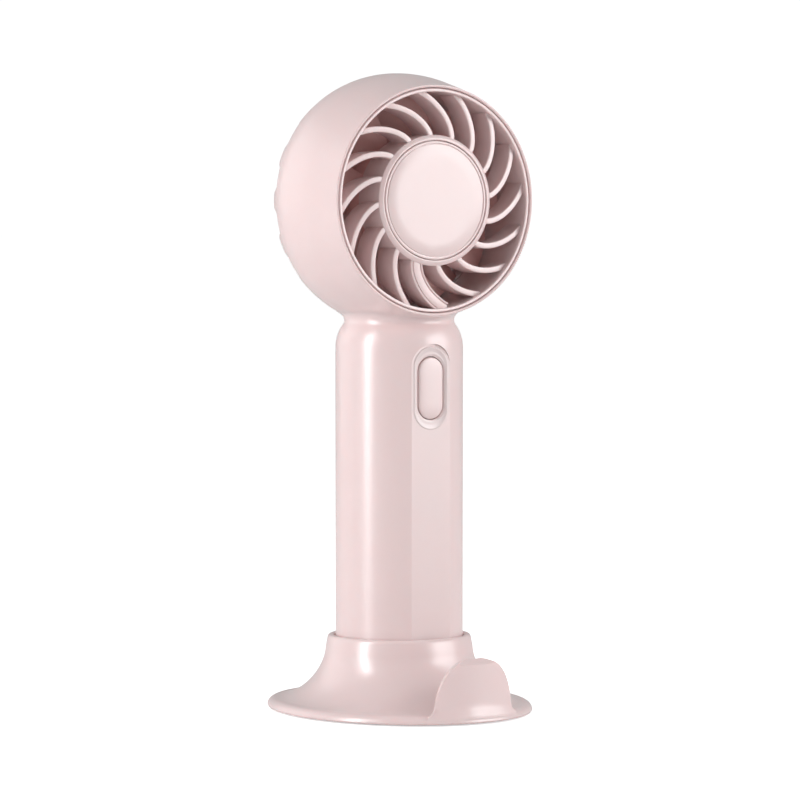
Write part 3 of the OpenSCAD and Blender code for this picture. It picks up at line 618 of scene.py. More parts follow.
@dataclass
class HeadShell:
    """Drum of the head with the neck and the handle, one moulded shell."""

    skin: Skin
    bore_r: float = 33.0
    duct_r: float = 32.0
    duct_line: float = 22.4
    seat_depth: float = 12.15
    seam: float = 30.0
    spigot: float = 27.0
    handle_r: float = 19.0
    handle_in_r: float = 16.8
    foot: float = 6.0
    shoulder_r: float = 11.5
    shoulder_z: float = 108.3
    neck_bore_r: float = 12.4
    neck_bore_z: float = 113.3
    flat_y: float = 17.8
    flat_half: float = 6.65
    flat_top: float = 109.8
    flat_bevel: float = 0.7
    neck_turn: float = 36.0
    neck_rows: int = 14
    neck_reach: float = 18.7
    pull_low: float = 1.7
    pull_high: float = 2.2
    cap_radii: tuple[float, ...] = (17.6, 15.0, 11.0, 6.0, 0.0)
    opening_r: float = 5.15
    opening_reach: float = 4.9
    port_r: float = 1.83
    port_reach: float = 2.84
    port_z: float = 33.0
    lead: tuple[float, float, float] = (4.85, -12.1, 1.7)

    def drum(self) -> bpy.types.Object:
        """Turns the drum with its rounded lip."""
        depths = [0.3 + (self.seam - 0.35) * i / 44 for i in range(45)]
        rim, bore, duct, line = self.skin.rim_r, self.bore_r, self.duct_r, self.duct_line
        rows = [(bore, 0.6), (bore + 0.1, 0.3), (bore + 0.28, 0.08), (bore + 0.4, 0.04)]
        rows += [(rim - 0.3, 0.0), (rim - 0.1, 0.06), (self.skin.radius(0.12) - 0.01, 0.14)]
        rows += [(self.skin.radius(d), d) for d in depths]
        rows += [(self.skin.radius(self.seam) - 0.05, self.seam), (bore, self.seam)]
        rows += [(bore, self.spigot), (duct, self.spigot), (duct, line + 0.3), (duct + 0.5, line + 0.3)]
        rows += [(duct + 0.5, line - 0.3), (duct, line - 0.3)]
        rows += [(duct, self.seat_depth), (bore, self.seat_depth)]
        return Bench.lathe("housing_shell", rows, About.BLADES, HEAD_STEPS)

    def handle(self) -> bpy.types.Object:
        """Turns the handle, then fits its neck to the underside of the drum."""
        wall, bore, top = self.handle_r, self.neck_bore_r, self.neck_bore_z
        rows = [(0, top), (bore, top), (bore, top - 2)]
        rows += [(self.handle_in_r, self.shoulder_z - 2), (self.handle_in_r, self.foot)]
        rows += [(wall - 0.4, self.foot), (wall - 0.12, self.foot + 0.12), (wall, self.foot + 0.4)]
        rows += [(wall, level) for level in (30, 60, 85)]
        rows += arc(wall - self.shoulder_r, self.shoulder_z, self.shoulder_r, 0, self.neck_turn, 16)
        start = rows[-1]
        rows += [(20.0, NECK_MARK + i) for i in range(1, self.neck_rows + 1)]
        rows += [(r, CAP_MARK + i) for i, r in enumerate(self.cap_radii)]
        obj = Bench.lathe("handle_shell", rows, About.UPRIGHT, BODY_STEPS, loop=False)
        for vertex in obj.data.vertices:
            if vertex.co.z / MM > NECK_MARK:
                vertex.co = self.fitted(vertex.co / MM, start) * MM
        return Bench.close_up(obj)

    def fitted(self, marked: Vector, start: Row) -> Vector:
        """Place of a marked point of the neck, on a curve from the shoulder to the drum.

        Args:
            marked: The turned point, whose level tells its row.
            start: Radius and level of the shoulder's end.

        Returns:
            The place in millimetres.
        """
        angle = math.atan2(marked.y, marked.x)
        across, along = math.cos(angle), math.sin(angle)
        if marked.z > CAP_MARK - 1:
            r = self.cap_radii[round(marked.z - CAP_MARK)]
            level = self.skin.underside(r * across, r * along) + self.sink(r * along)
            return Vector((r * across, r * along, level))
        t = round(marked.z - NECK_MARK) / self.neck_rows
        reach = self.neck_reach
        sunk = self.sink(reach * along)
        end = self.skin.underside(reach * across, reach * along) + sunk
        rise = end - self.skin.underside((reach - 1) * across, (reach - 1) * along) - sunk
        lean = math.radians(self.neck_turn)
        low = (start[0] - self.pull_low * math.sin(lean), start[1] + self.pull_low * math.cos(lean))
        r = self.bezier(start[0], low[0], reach - self.pull_high, reach, t)
        level = self.bezier(start[1], low[1], end - self.pull_high * rise, end, t)
        return Vector((r * across, r * along, level))

    def sink(self, y: float) -> float:
        """How far the neck reaches into the drum; behind the seam it stays clear of the rear cover."""
        share = min(max((self.seam - 0.1 - (y + HEAD_FRONT)) / 0.4, 0.0), 1.0)
        return -0.14 + share * 0.2

    @staticmethod
    def bezier(a: float, b: float, c: float, d: float, t: float) -> float:
        """Value on a cubic curve."""
        s = 1 - t
        return s**3 * a + 3 * s * s * t * b + 3 * s * t * t * c + t**3 * d

    def flat_cutter(self) -> bpy.types.Object:
        """Block that leaves the front flat with its arched top."""
        wide = self.flat_half + 2
        spring = self.flat_top - self.flat_half
        outline = [(-wide, 0), (wide, 0), (wide, spring - 8)] + arc(0, spring, self.flat_half, 0, 180, 40)
        outline = [(u, v - BUTTON_Z) for u, v in outline + [(-wide, spring - 8)]]
        obj = Bench.prism("flat_cutter", outline, About.BUTTON, self.flat_y, 24)
        Bench.pick(obj)
        bpy.ops.object.mode_set(mode="EDIT")
        bpy.ops.mesh.select_all(action="DESELECT")
        mesh = bmesh.from_edit_mesh(obj.data)
        low = (spring - 0.01) * MM
        for edge in mesh.edges:
            edge.select = all(abs(v.co.y + self.flat_y * MM) < 1e-7 and v.co.z > low for v in edge.verts)
        bmesh.update_edit_mesh(obj.data)
        bpy.ops.mesh.bevel(offset=self.flat_bevel * MM, segments=5, affect="EDGES")
        return Bench.close_up(obj)

    def build(self) -> None:
        """Builds the shell and dresses it."""
        drum, handle = self.drum(), self.handle()
        Bench.combine(handle, self.flat_cutter(), Cut.AWAY)
        opening = oblong_outline(self.opening_r, self.opening_reach, 64, True)
        Bench.combine(handle, Bench.prism("opening", opening, About.BUTTON, 10, 22), Cut.AWAY)
        port = oblong_outline(self.port_r, self.port_reach, 48, False)
        port = [(u, v + self.port_z - BUTTON_Z) for u, v in port]
        Bench.combine(handle, Bench.prism("port_opening", port, About.BUTTON, -22, -13), Cut.AWAY)
        x, y, r = self.lead
        for piece in (drum, handle):
            hole = Bench.prism("lead_way", arc(x, y, r, 0, 345, 23), About.UPRIGHT, 110, 121.5)
            Bench.combine(piece, hole, Cut.AWAY)
            Bench.smooth(piece, 14)
        shell = Bench.join(drum, [handle])
        dress(shell, PINK, "fan", "shell", "housing")


@dataclass
class FrontGrille:
    """Ring, hub cup, swept vanes and the round disc of the front."""

    ring_r: float = 32.85
    ring_in_r: float = 31.8
    cup_depth: float = 12.0
    hub_r: float = 19.2
    hub_wall: float = 1.6
    count: int = 16
    first: float = 4.0
    sweep: float = 25.5
    thickness: float = 1.7
    wide: float = 4.2
    wide_angle: float = -108.5
    rear: float = 10.0
    crest_in: float = 0.75
    crest_out: float = 1.7
    end_fall: float = 0.3
    crest_round: float = 0.34
    vane_start: float = 18.4
    vane_steps: int = 22

    def ring(self) -> bpy.types.Object:
        """Turns the outer ring with rounded front edges."""
        outer, inner = self.ring_r, self.ring_in_r
        rows = [(outer, 0.75), (outer - 0.08, 0.5), (outer - 0.2, 0.3), (outer - 0.34, 0.2)]
        rows += arc(inner + 0.28, 0.48, 0.28, -90, -180, 5)
        rows += [(inner, self.cup_depth), (outer, self.cup_depth)]
        return Bench.lathe("grille_ring", rows, About.BLADES, HEAD_STEPS)

    def hub(self) -> bpy.types.Object:
        """Turns the hub cup with its bevelled ring and the seat of the disc."""
        outer, inner = self.hub_r, self.hub_r - self.hub_wall
        rows = [(0, 1.2), (inner, 1.2), (inner, 0.25), (inner + 0.08, 0.08), (inner + 0.25, 0.0)]
        rows += [(outer - 1.25, 0.0), (outer - 0.95, 0.04), (outer - 0.22, 0.52), (outer - 0.05, 0.68)]
        rows += [(outer, 0.9), (outer, self.cup_depth), (inner, self.cup_depth), (inner, 2.8), (0, 2.8)]
        return Bench.lathe("grille_hub", rows, About.BLADES, BODY_STEPS, loop=False)

    def share(self, r: float) -> float:
        """Share of the way from the hub to the ring at a radius."""
        return min(max((r - self.hub_r) / (self.ring_in_r - self.hub_r), 0.0), 1.0)

    def turn_at(self, r: float) -> float:
        """How far a vane has turned at a radius, in degrees."""
        return self.sweep * max(0.0, (r - self.hub_r) / (self.ring_in_r - self.hub_r)) ** 1.3

    def middle(self, r: float, start: float) -> Vector:
        """Middle of a vane at a radius, in face coordinates."""
        a = math.radians(start + self.turn_at(r))
        return Vector((r * math.cos(a), r * math.sin(a)))

    def section(self, r: float, start: float, half: float, ridges: bool) -> list[Vector]:
        """Outline of a vane across its run at a radius.

        Args:
            r: Radius of the section.
            start: Face angle of the vane's inner end.
            half: Half of the vane's thickness.
            ridges: Whether the crest is a broad band between two grooves.

        Returns:
            The points in metres.
        """
        along = (self.middle(r + 0.05, start) - self.middle(r - 0.05, start)).normalized()
        normal = Vector((-along.y, along.x))
        share = self.share(r)
        fall = max(0.0, (share - 0.86) / 0.14) ** 2 * self.end_fall
        crest = self.crest_in + (self.crest_out - self.crest_in) * share**1.2 + fall
        round_r = min(half, self.crest_round)
        if ridges:
            edge = [(0.0, 0.45), (0.12, 0.12), (0.4, 0.0), (0.62, 0.1)]
            edge += [(0.72, 0.42), (0.95, 0.42), (1.02, 0.1)]
            top = [(half - s, crest + d) for s, d in edge] + [(0.5, crest)]
        else:
            top = [(half - round_r + a, crest + round_r - b) for a, b in arc(0, 0, round_r, 0, 90, 5)]
        top = [(half * 0.8, self.rear), (half, self.rear - 1)] + top
        top += [(-s, d) for s, d in reversed(top)]
        outline = [p for i, p in enumerate(top) if i == 0 or math.dist(p, top[i - 1]) > 1e-4]
        centre = self.middle(r, start)
        return [About.BLADES.place(*(centre + normal * s), d) for s, d in outline]

    def vane(self, start: float, half: float, ridges: bool) -> bpy.types.Object:
        """Extrudes one vane from the hub to the ring."""
        run = self.ring_in_r + 0.5 - self.vane_start
        radii = [self.vane_start + run * i / self.vane_steps for i in range(self.vane_steps + 1)]
        return Bench.sweep("grille_vane", [self.section(r, start, half, ridges) for r in radii])

    def disc(self) -> bpy.types.Object:
        """Turns the flat disc in the middle."""
        edge = self.hub_r - self.hub_wall - 0.2
        line = edge - 0.85
        rows = [(0, 0.02), (line - 4, 0.02), (line - 0.3, 0.03), (line - 0.13, 0.1), (line - 0.08, 0.3)]
        rows += [(line + 0.08, 0.3), (line + 0.13, 0.1), (line + 0.3, 0.03), (edge - 0.22, 0.05)]
        rows += [(edge - 0.08, 0.14), (edge, 0.42), (edge, 1.2), (0, 1.2)]
        return Bench.lathe("hub_disc_face", rows, About.BLADES, BODY_STEPS, loop=False)

    def build(self) -> None:
        """Builds the grille and dresses it."""
        vanes = Bench.ring_of(self.vane(self.first, self.thickness / 2, False), self.count, About.BLADES)
        spare = vanes.pop(round((self.wide_angle - self.first) / 360 * self.count) % self.count)
        bpy.data.objects.remove(spare)
        vanes.append(self.vane(self.wide_angle, self.wide / 2, True))
        grille = Bench.join(self.ring(), [self.hub()])
        Bench.combine(grille, Bench.join(vanes[0], vanes[1:]), Cut.ADD)
        grille.name = grille.data.name = "front_grille_body"
        Bench.smooth(grille, 30)
        dress(grille, PINK, "fan", "shell", "front_grille")
        disc = self.disc()
        Bench.smooth(disc, 30)
        dress(disc, PINK, "fan", "shell", "hub_disc")


@dataclass
class RearCover:
    """Rear cover with its round of slots and lobes."""

    skin: Skin
    seam: float = 30.0
    edge: float = 37.4
    depth: float = 41.0
    count: int = 16
    slot_in: float = 2.6
    slot_out: float = 4.6
    slot_r: float = 24.0
    slot_end: float = 31.2
    slot_far: float = 43.0
    scallop_half: float = 4.9
    scallop_depth: float = 2.3
    round_r: float = 5.0
    steps: int = 384

    def cover(self) -> bpy.types.Object:
        """Turns the cover."""
        skin, back = self.skin, self.depth
        turn = math.degrees(math.asin((self.edge - skin.belly) / skin.rear_curve))
        centre = (skin.radius(self.edge) - self.round_r * math.cos(math.radians(turn)),
                  self.edge - self.round_r * math.sin(math.radians(turn)))
        depths = [self.seam + 0.05 + (self.edge - self.seam - 0.05) * i / 12 for i in range(13)]
        rows = [(skin.radius(self.seam) - 0.05, self.seam)] + [(skin.radius(d), d) for d in depths]
        rows += arc(*centre, self.round_r, turn + 4, 72, 12)
        rows += [(24.8, back - 0.02), (22, back), (20.45, back), (20.3, back - 0.28), (19.9, back - 0.28)]
        rows += [(19.75, back), (18.5, back), (0, back), (0, back - 2), (24.3, back - 2)]
        rows += [(29.2, 37.3), (31, 35), (31, 27), (32.85, 27), (32.85, self.seam)]
        cover = Bench.lathe("rear_cover", rows, About.BLADES, self.steps)
        self.scallop(cover, centre)
        return cover

    def is_outside(self, r: float, depth: float) -> bool:
        """Whether a point belongs to the cover's outer face, away from its middle."""
        if r < 23 or depth <= self.seam + 1:
            return False
        on_back = depth > self.depth - 0.5
        on_round = depth > self.edge and r > self.skin.radius(self.edge) - 6
        return on_back or on_round or r > self.skin.radius(depth) - 0.2

    def scallop(self, cover: bpy.types.Object, centre: Row) -> None:
        """Presses one soft hollow into the rounded edge behind each slot.

        Args:
            cover: The turned cover.
            centre: Radius and depth of the middle of the edge's rounding.
        """
        pitch = 360 / self.count
        for vertex in cover.data.vertices:
            u, depth, v = vertex.co.x / MM, vertex.co.y / MM + HEAD_FRONT, vertex.co.z / MM - HEAD_Z
            r = math.hypot(u, v)
            if not self.is_outside(r, depth):
                continue
            across = ((math.degrees(math.atan2(v, u)) / pitch) % 1.0 - 0.5) * math.radians(pitch) * r
            share = max(0.0, 1 - abs(across) / self.scallop_half)
            press = self.scallop_depth * (share * share * (3 - 2 * share))
            press *= min(max((depth - 30.6) / 3.6, 0.0), 1.0) * min(max((r - 25.0) / 5.0, 0.0), 1.0)
            if depth > self.depth - 0.3:
                away = Vector((0.0, 1.0))
            elif depth > 35:
                away = Vector((r - centre[0], depth - centre[1])).normalized()
            else:
                away = Vector((1.0, 0.0))
            moved = (r - away.x * press) / r
            vertex.co = Vector((u * moved, depth - away.y * press - HEAD_FRONT, v * moved + HEAD_Z)) * MM

    def slot_cutters(self) -> bpy.types.Object:
        """Blocks of all the slots."""
        w0, w1 = self.slot_in / 2, self.slot_out / 2
        end = w0 + (w1 - w0) * (self.slot_end - self.slot_r) / (self.slot_far - self.slot_r)
        outline = arc(self.slot_r, 0, w0, 90, 270, 8) + arc(self.slot_end, 0, end, -90, 90, 8)
        turn = math.radians(180 / self.count)
        c, s = math.cos(turn), math.sin(turn)
        turned = [(u * c - v * s, u * s + v * c) for u, v in outline]
        slot = Bench.prism("slot", turned, About.BLADES, 34.0, self.slot_far)
        copies = Bench.ring_of(slot, self.count, About.BLADES)
        return Bench.join(copies[0], copies[1:])

    def build(self) -> None:
        """Builds the cover and dresses it."""
        cover = self.cover()
        Bench.combine(cover, self.slot_cutters(), Cut.AWAY)
        Bench.smooth(cover, 25)
        dress(cover, PINK, "fan", "shell", "rear_grille")


@dataclass
class BladeWheel:
    """Spinning hub with its pitched blades."""

    hub_r: float = 18.2
    tip_r: float = 30.8
    count: int = 9
    cover: float = 0.93
    first: float = 14.0
    front: float = 13.5
    rear: float = 22.4
    thickness: float = 1.2
    can_r: float = 11.7
    camber: float = 0.9
    stations: int = 12
    chord_steps: int = 8
    steps: int = 128

    def hub(self) -> bpy.types.Object:
        """Turns the hub with its sleeve round the rotor can."""
        can, hub = self.can_r, self.hub_r
        rows = [(1.0, 13.6), (can, 13.6), (can, 8.6), (can + 1.2, 8.6), (can + 1.2, 15.2)]
        rows += [(4, 15.2), (4, 23.4)]
        rows += [(hub - 1.6, 23.4), (hub - 1.6, 12.75), (hub - 1.4, 12.6), (hub - 0.15, 12.6), (hub, 12.75)]
        rows += arc(hub - 3, 23, 3, 0, 90, 8) + [(1.0, 26)]
        return Bench.lathe("blade_wheel", rows, About.BLADES, self.steps)

    def blade(self) -> bpy.types.Object:
        """Extrudes one blade, cambered and twisted, from the hub to its tip."""
        root = self.hub_r - 0.8
        radii = [root + (self.tip_r - root) * i / self.stations for i in range(self.stations + 1)]
        return Bench.sweep("blade", [self.section(r) for r in radii])

    def section(self, r: float) -> list[Vector]:
        """Outline of a blade at a radius, in metres."""
        deep_reach = (self.rear - self.front - 0.4) * 0.97
        pitch = math.atan2(math.radians(360 / self.count * self.cover) * r, deep_reach)
        chord = deep_reach / math.cos(pitch)
        run = list(range(self.chord_steps + 1))
        points = []
        for side, k in [(1, k) for k in run] + [(-1, k) for k in reversed(run)]:
            s = k / self.chord_steps - 0.5
            thick = side * self.thickness / 2 * math.sqrt(max(1 - (2 * s) ** 4, 0.03))
            lift = thick + self.camber * (0.25 - s * s)
            across = s * chord * math.sin(pitch) + lift * math.cos(pitch)
            deep = s * chord * math.cos(pitch) - lift * math.sin(pitch)
            turn = across / r + math.radians(self.first)
            middle = (self.front + self.rear) / 2
            points.append(About.BLADES.place(r * math.cos(turn), r * math.sin(turn), middle + deep))
        return points

    def build(self) -> None:
        """Builds the wheel and dresses it."""
        wheel = Bench.join(self.hub(), Bench.ring_of(self.blade(), self.count, About.BLADES))
        Bench.smooth(wheel, 35)
        # The blades take the darker rose, which is painted shade for the inside of the fan.
        dress(wheel, BLADE_PAINTED_SHADE, "rotor", "blade_plastic", "impeller")


@dataclass
class Button:
    """Oblong button cap in its raised, dished bezel."""

    flat: float = 17.8
    crest: float = 18.0
    back: float = 15.9
    crown: float = 18.04
    steps: int = 96

    def bezel(self) -> bpy.types.Object:
        """Turns the bezel and draws it out."""
        back, flat, crest = self.back, self.flat, self.crest
        rows = [(5.1, 10.0, back), (5.1, 10.0, flat - 0.1), (6.3, 12.3, flat - 0.1)]
        rows += [(6.3, 12.3, flat - 0.02)]
        rows += [(6.05, 12.24, flat + 0.01), (5.86, 12.16, flat + 0.07), (5.72, 12.06, crest - 0.03)]
        rows += [(5.6, 11.96, crest), (5.46, 11.84, crest - 0.02), (5.34, 11.7, crest - 0.06)]
        rows += [(5.05, 11.2, crest - 0.14), (4.8, 10.55, crest - 0.24), (4.62, 9.95, crest - 0.34)]
        rows += [(4.52, 9.52, crest - 0.42), (4.47, 9.38, crest - 0.52), (4.45, 9.35, crest - 0.7)]
        return self.drawn("bezel_ring", rows + [(4.45, 9.35, back)], True)

    def cap(self) -> bpy.types.Object:
        """Turns the cap with its crowned face and draws it out."""
        crown = self.crown
        rows = [(0.0, 4.9, 14.2), (1.5, 1.5, 14.2), (1.5, 1.5, 15.04), (4.95, 9.85, 15.05)]
        rows += [(4.95, 9.85, 15.85), (4.2, 9.1, 15.86), (4.2, 9.1, 17.5), (4.15, 9.05, crown - 0.38)]
        rows += [(4.02, 8.92, crown - 0.26)]
        rows += [(3.8, 8.7, crown - 0.18), (3.3, 8.2, crown - 0.12), (2.5, 7.4, crown - 0.06)]
        rows += [(1.5, 6.4, crown - 0.02), (0.6, 5.5, crown - 0.005), (0.0, 4.9, crown)]
        return self.drawn("button_face", rows, False)

    def drawn(self, name: str, rows: list[tuple[float, float, float]], loop: bool) -> bpy.types.Object:
        """Turns rows of half width, half length and height, and draws the piece out into an oblong."""
        profile = [(width, height) for width, _, height in rows]
        start = 180 / self.steps
        return Bench.oblong(Bench.lathe(name, profile, About.BUTTON, self.steps, loop, start), rows)

    def build(self) -> None:
        """Builds both pieces and dresses them."""
        bezel, cap = self.bezel(), self.cap()
        for piece in (bezel, cap):
            Bench.smooth(piece, 35)
        dress(bezel, PINK, "fan", "shell", "button_bezel")
        dress(cap, PINK, "button", "shell", "button_cap")


@dataclass
class DeskStand:
    """Bell-shaped stand with its collar, socket and upright tab."""

    half_x: float = 37.5
    half_y: float = 44.7
    collar_r: float = 21.3
    collar_z: float = 22.7
    socket_r: float = 19.35
    socket_floor: float = 3.9
    key_y: float = 18.05
    key_z: float = 15.0
    foot_z: float = 19.0
    foot_share: float = 0.038
    flange_z: float = 3.2
    flange_share: float = 0.858
    power: float = 1.7
    wall: float = 2.1
    plate_top: float = 2.6
    tab_half: float = 13.7
    tab_rise: float = 18.4
    tab_t: float = 2.3
    tab_curve: float = 31.5
    tab_slope: float = 36.0
    tab_cut_z: float = 17.5
    tab_foot: float = 1.2
    tab_round: float = 0.42
    tab_arch: float = 0.86
    tab_levels: int = 10
    pocket_inset: float = 4.3

    def share(self, z: float) -> float:
        """Share of the way from the collar to the edge at a level of the bell."""
        t = min(max((self.foot_z - z) / (self.foot_z - self.flange_z), 0.0), 1.0)
        spread = self.flange_share - self.foot_share
        return self.flange_share - spread * (1 - t**self.power) ** (1 / self.power)

    def oval(self, share: float, z: float, inset: float, count: int) -> list[Vector]:
        """Outline of the stand at a share and a level, taken in by an inset."""
        a = self.collar_r + share * (self.half_x - self.collar_r) - inset
        b = self.collar_r + share * (self.half_y - self.collar_r) - inset
        turns = [math.tau * i / count for i in range(count)]
        return [Vector((a * math.cos(t), b * math.sin(t), z)) * MM for t in turns]

    def bell(self) -> bpy.types.Object:
        """Extrudes the bell level by level from the table to the collar's lip."""
        rise, spread = self.flange_z - 1, 1 - self.flange_share
        levels = [(0.955, 0.4), (0.985, 0.55), (1.0, 1.0)]
        for a in [math.radians(degrees) for degrees in range(10, 90, 10)]:
            levels.append((self.flange_share + spread * math.cos(a), 1 + rise * math.sin(a)))
        for i in range(29):
            z = self.flange_z + (self.foot_z - self.flange_z) * (i / 28) ** 1.7
            levels.append((self.share(z), z))
        levels += [(0.026, 20.2), (0.014, 21.3), (0.006, 22.0), (-0.004, 22.35)]
        levels += [(-0.018, 22.58), (-0.036, 22.68), (-0.052, self.collar_z)]
        return Bench.sweep("stand_shell", [self.oval(s, z, 0, 160) for s, z in levels])

    def hollow(self) -> bpy.types.Object:
        """Room inside the bell, round the socket's column."""
        top = self.foot_z - self.wall
        levels = [self.plate_top - 0.01 + (top - self.plate_top) * (i / 7) ** 1.3 for i in range(8)]
        ovals = [self.oval(self.share(z + self.wall), z, self.wall, 64) for z in levels]
        room = Bench.sweep("hollow", ovals)
        round_post = arc(0, 0, self.socket_r + self.wall, 0, 357.5, 143)
        Bench.combine(room, Bench.prism("column", round_post, About.UPRIGHT, -1, 24), Cut.AWAY)
        return room

    def socket(self) -> bpy.types.Object:
        """Turns the socket with a rounded mouth and leaves its flat key."""
        r, floor = self.socket_r, self.socket_floor
        rows = [(0, floor), (r, floor), (r, 22.1), (r + 0.1, 22.4), (r + 0.3, 22.6)]
        rows += [(r + 0.6, self.collar_z + 0.02), (r + 0.6, 25), (0, 25)]
        plug = Bench.lathe("socket", rows, About.UPRIGHT, BODY_STEPS, loop=False)
        wide = r + 3
        key = [(-wide, -wide), (wide, -wide), (wide, -self.key_y), (-wide, -self.key_y)]
        Bench.combine(plug, Bench.prism("key", key, About.UPRIGHT, 0, self.key_z), Cut.AWAY)
        return plug

    def tab_outline(self) -> list[Row]:
        """Top outline of the tab from left to right, as side and level."""
        arch = []
        for a in range(168, 11, -4):
            c, s = math.cos(math.radians(a)), math.sin(math.radians(a))
            x = self.tab_half * math.copysign(abs(c) ** self.tab_arch, c)
            arch.append((x, 1 + self.tab_rise * s**self.tab_arch))
        left = [(-15.6, 3.0), (-15.0, 3.1), (-14.5, 3.4), (-14.1, 3.9), (-13.8, 4.5)]
        right = [(-x, z) for x, z in reversed(left)]
        return left + [(x, z) for x, z in arch if z > 4.6] + right

    def tab(self) -> bpy.types.Object:
        """Makes the upright tab: a plate with an arched top, thickened, rounded and laid round a curve."""
        top = self.tab_outline()
        last = len(top) - 1
        Bench.clear()
        bpy.ops.mesh.primitive_grid_add(x_subdivisions=last, y_subdivisions=self.tab_levels, size=2)
        obj = bpy.context.object
        obj.name = obj.data.name = "phone_tab"
        for vertex in obj.data.vertices:
            x, z = top[round((vertex.co.x + 1) / 2 * last)]
            level = self.tab_foot + (z - self.tab_foot) * (vertex.co.y + 1) / 2
            vertex.co = Vector((x, 0, level)) * MM
        Bench.modify(obj, "SOLIDIFY", thickness=self.tab_t * MM, offset=0.0)
        Bench.close_up(obj)
        options = {"segments": 4, "limit_method": "ANGLE", "angle_limit": math.radians(50)}
        Bench.modify(obj, "BEVEL", width=self.tab_round * MM, **options)
        front = -self.half_y + 0.7
        centre = front + self.tab_curve
        for vertex in obj.data.vertices:
            x, depth, z = vertex.co / MM
            root = min(max(0.0, (4.6 - z) / 1.6), 1.0)
            depth += self.tab_t / 2 + depth * 0.5 * root * root
            angle, r = x / self.tab_curve, self.tab_curve - depth
            vertex.co = Vector((r * math.sin(angle), centre - r * math.cos(angle), z)) * MM
        Bench.pick(obj)
        bpy.ops.object.mode_set(mode="EDIT")
        bpy.ops.mesh.select_all(action="SELECT")
        slope = math.radians(self.tab_slope)
        place, normal = (0, front * MM, self.tab_cut_z * MM), (0, -math.sin(slope), math.cos(slope))
        bpy.ops.mesh.bisect(plane_co=place, plane_no=normal, use_fill=True, clear_outer=True)
        return Bench.close_up(obj)

    def build(self) -> None:
        """Builds the stand and dresses it."""
        stand = self.bell()
        Bench.combine(stand, self.hollow(), Cut.AWAY)
        Bench.combine(stand, self.socket(), Cut.AWAY)
        pocket = [(v.x / MM, v.y / MM) for v in self.oval(1, 0, self.pocket_inset, 96)]
        Bench.combine(stand, Bench.prism("pocket", pocket, About.UPRIGHT, -1, self.plate_top), Cut.AWAY)
        Bench.smooth(stand, 25)
        dress(stand, PINK, "stand", "shell", "stand_body")
        tab = self.tab()
        Bench.smooth(tab, 24)
        dress(tab, PINK, "stand", "shell")


@dataclass
class Innards:
    """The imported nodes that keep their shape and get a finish."""

    finishes: tuple[tuple[Finish, str], ...] = (
        (BRASS, "bearing_tube"),
        (BEARING, "front_bearing rear_bearing motor_shaft"),
        (CIRCUIT, "motor_board control_board charge_board"),
        (SCREW, "motor_screws shaft_clip control_board_screws bottom_cap_screws stand_screws"),
        (CORE, "stator_core"),
        (COPPER, "stator_windings"),
        (RED_WIRE, "motor_leads cell_leads"),
        (BLACK_WIRE, "power_leads"),
        (CAN, "rotor_can"),
        (MAGNET, "rotor_magnet"),
        (BLACK, "switch_plunger switch_body control_board_parts charge_board_parts"),
        (WHITE, "cell_carrier"),
        (WRAP, "battery_cell"),
        (NICKEL, "cell_tabs"),
        (PORT, "usb_c_port"),
        (PINK, "bottom_cap"),
        (PLATE, "stand_plate"),
        (RUBBER, "foot_pad"),
    )

    def dress(self) -> None:
        """Assigns the finishes."""
        for finish, names in self.finishes:
            for name in names.split():
                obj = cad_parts[name]
                obj.data.materials.clear()
                obj.data.materials.append(finish.material())
                LOG.info("%s: finish %s", name, finish.name)


@dataclass(frozen=True)
class Lamp:
    """A rectangular soft light, in metres, degrees right of the camera's direction and watts."""

    name: str
    angle: float
    distance: float
    level: float
    size: tuple[float, float]
    watts: float

    def hang(self, ahead: float, aim: Vector) -> None:
        """Adds the light.

        Args:
            ahead: The camera's direction seen from above, in degrees.
            aim: What the light points at.
        """
        data = bpy.data.lights.new(self.name, "AREA")
        data.shape = "RECTANGLE"
        data.size, data.size_y = self.size
        data.energy = self.watts
        lamp = bpy.data.objects.new(self.name, data)
        bpy.context.scene.collection.objects.link(lamp)
        turned = math.radians(self.angle + ahead)
        lamp.location = (self.distance * math.cos(turned), self.distance * math.sin(turned), self.level)
        lamp.rotation_euler = (aim - lamp.location).to_track_quat("-Z", "Y").to_euler()


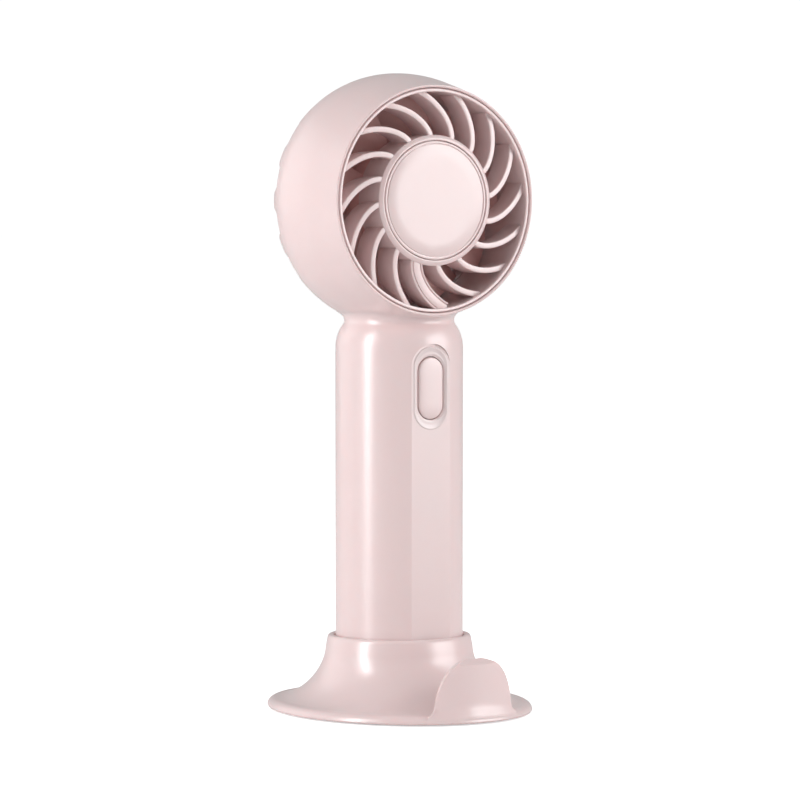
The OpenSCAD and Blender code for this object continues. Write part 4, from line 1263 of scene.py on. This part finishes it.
@dataclass
class Studio:
    """Pale floor, soft lights and the camera."""

    eye: tuple[float, float, float] = (-0.6315, -1.0266, 0.152)
    pitch: float = 2.827
    azimuth: float = 31.609
    lens: float = 182.25
    sensor: float = 36.0
    glow: float = 0.44
    glow_ahead: float = 0.15
    glow_edge: float = 0.35
    backdrop: float = 1.05
    floor_glow: float = 0.62
    floor_bounce: tuple[float, float, float, float] = (0.86, 0.85, 0.85, 1)
    lamps: tuple[Lamp, ...] = (
        Lamp("strip_left", -58.0, 1.1, 0.42, (0.19, 0.9), 8.8),
        Lamp("soft_left", -116.0, 1.2, 0.45, (0.9, 0.9), 1.6),
        Lamp("soft_right", 65.0, 1.7, 0.535, (0.6, 1.05), 10.4),
        Lamp("edge_right", 86.0, 1.4, 0.5, (0.55, 0.95), 5.8),
    )

    @property
    def ahead(self) -> float:
        """Direction from the object to the camera, seen from above, in degrees."""
        return -self.azimuth - 90

    def camera(self) -> None:
        """Places the camera and makes it the scene's."""
        data = bpy.data.cameras.new("camera")
        data.lens = self.lens
        data.sensor_width = self.sensor
        data.clip_end = 20
        eye = bpy.data.objects.new("camera", data)
        bpy.context.scene.collection.objects.link(eye)
        eye.location = self.eye
        eye.rotation_euler = (math.radians(90 - self.pitch), 0, math.radians(-self.azimuth))
        bpy.context.scene.camera = eye

    @staticmethod
    def by_ray(tree: bpy.types.NodeTree, end: str, lit: bpy.types.Node, seen: bpy.types.Node) -> None:
        """Gives rays of light one shader and rays from the camera another.

        Args:
            tree: The tree of a material or world.
            end: Name of its output node.
            lit: Shader that lights the scene.
            seen: Shader that the camera sees.
        """
        rays = add_node(tree, "LightPath", {}).outputs["Is Camera Ray"]
        choice = add_node(tree, "MixShader", {"Fac": rays, 1: lit.outputs[0], 2: seen.outputs[0]})
        tree.links.new(choice.outputs[0], tree.nodes[end].inputs["Surface"])

    def floor(self) -> None:
        """Pale floor with the faintest of mottle."""
        Bench.clear()
        bpy.ops.mesh.primitive_grid_add(x_subdivisions=4, y_subdivisions=4, size=30)
        floor = bpy.context.object
        floor.name = "floor"
        finish = Finish("pale_floor", (252, 252, 252), (250, 250, 250), 0.9, Pattern.GRAIN, 300, 0.0)
        material = finish.material()
        tree = material.node_tree
        shader = tree.nodes["Principled BSDF"]
        shader.inputs["Emission Color"].default_value = (1, 1, 1, 1)
        shader.inputs["Emission Strength"].default_value = self.floor_glow
        bounce = add_node(tree, "BsdfDiffuse", {"Color": self.floor_bounce})
        self.by_ray(tree, "Material Output", bounce, shader)
        floor.data.materials.append(material)

    def world(self) -> None:
        """Even white round the camera's view, and a glow that is weaker from the camera's side."""
        world = bpy.data.worlds.new("studio")
        bpy.context.scene.world = world
        world.use_nodes = True
        tree = world.node_tree
        white = (1, 1, 1, 1)
        around = add_node(tree, "TexCoord", {}).outputs["Generated"]
        heading = math.radians(self.ahead)
        inputs = {0: around, 1: (math.cos(heading), math.sin(heading), 0)}
        facing = add_node(tree, "VectorMath", inputs, operation="DOT_PRODUCT").outputs["Value"]
        inputs = {"Value": facing, "From Min": self.glow_edge, "To Min": self.glow, "To Max": self.glow_ahead}
        shade = add_node(tree, "MapRange", inputs, interpolation_type="SMOOTHSTEP")
        glow = tree.nodes["Background"]
        glow.inputs["Color"].default_value = white
        tree.links.new(shade.outputs["Result"], glow.inputs["Strength"])
        backdrop = add_node(tree, "Background", {"Color": white, "Strength": self.backdrop})
        self.by_ray(tree, "World Output", glow, backdrop)

    def build(self) -> None:
        """Sets up the whole studio."""
        self.camera()
        self.floor()
        for lamp in self.lamps:
            lamp.hang(self.ahead, Vector((0, 0, 0.1)))
        self.world()
        bpy.context.scene.view_settings.view_transform = "Standard"


def main() -> None:
    """Builds the studio and every sub-assembly in order."""
    logging.basicConfig(level=logging.INFO, format="%(name)s: %(message)s")
    Studio().build()
    skin = Skin()
    for assembly in (HeadShell(skin), FrontGrille(), RearCover(skin), BladeWheel(), Button(), DeskStand()):
        assembly.build()
        LOG.info("%s is built", type(assembly).__name__)
    Innards().dress()
    Bench.clear()


if __name__ == "__main__":
    main()
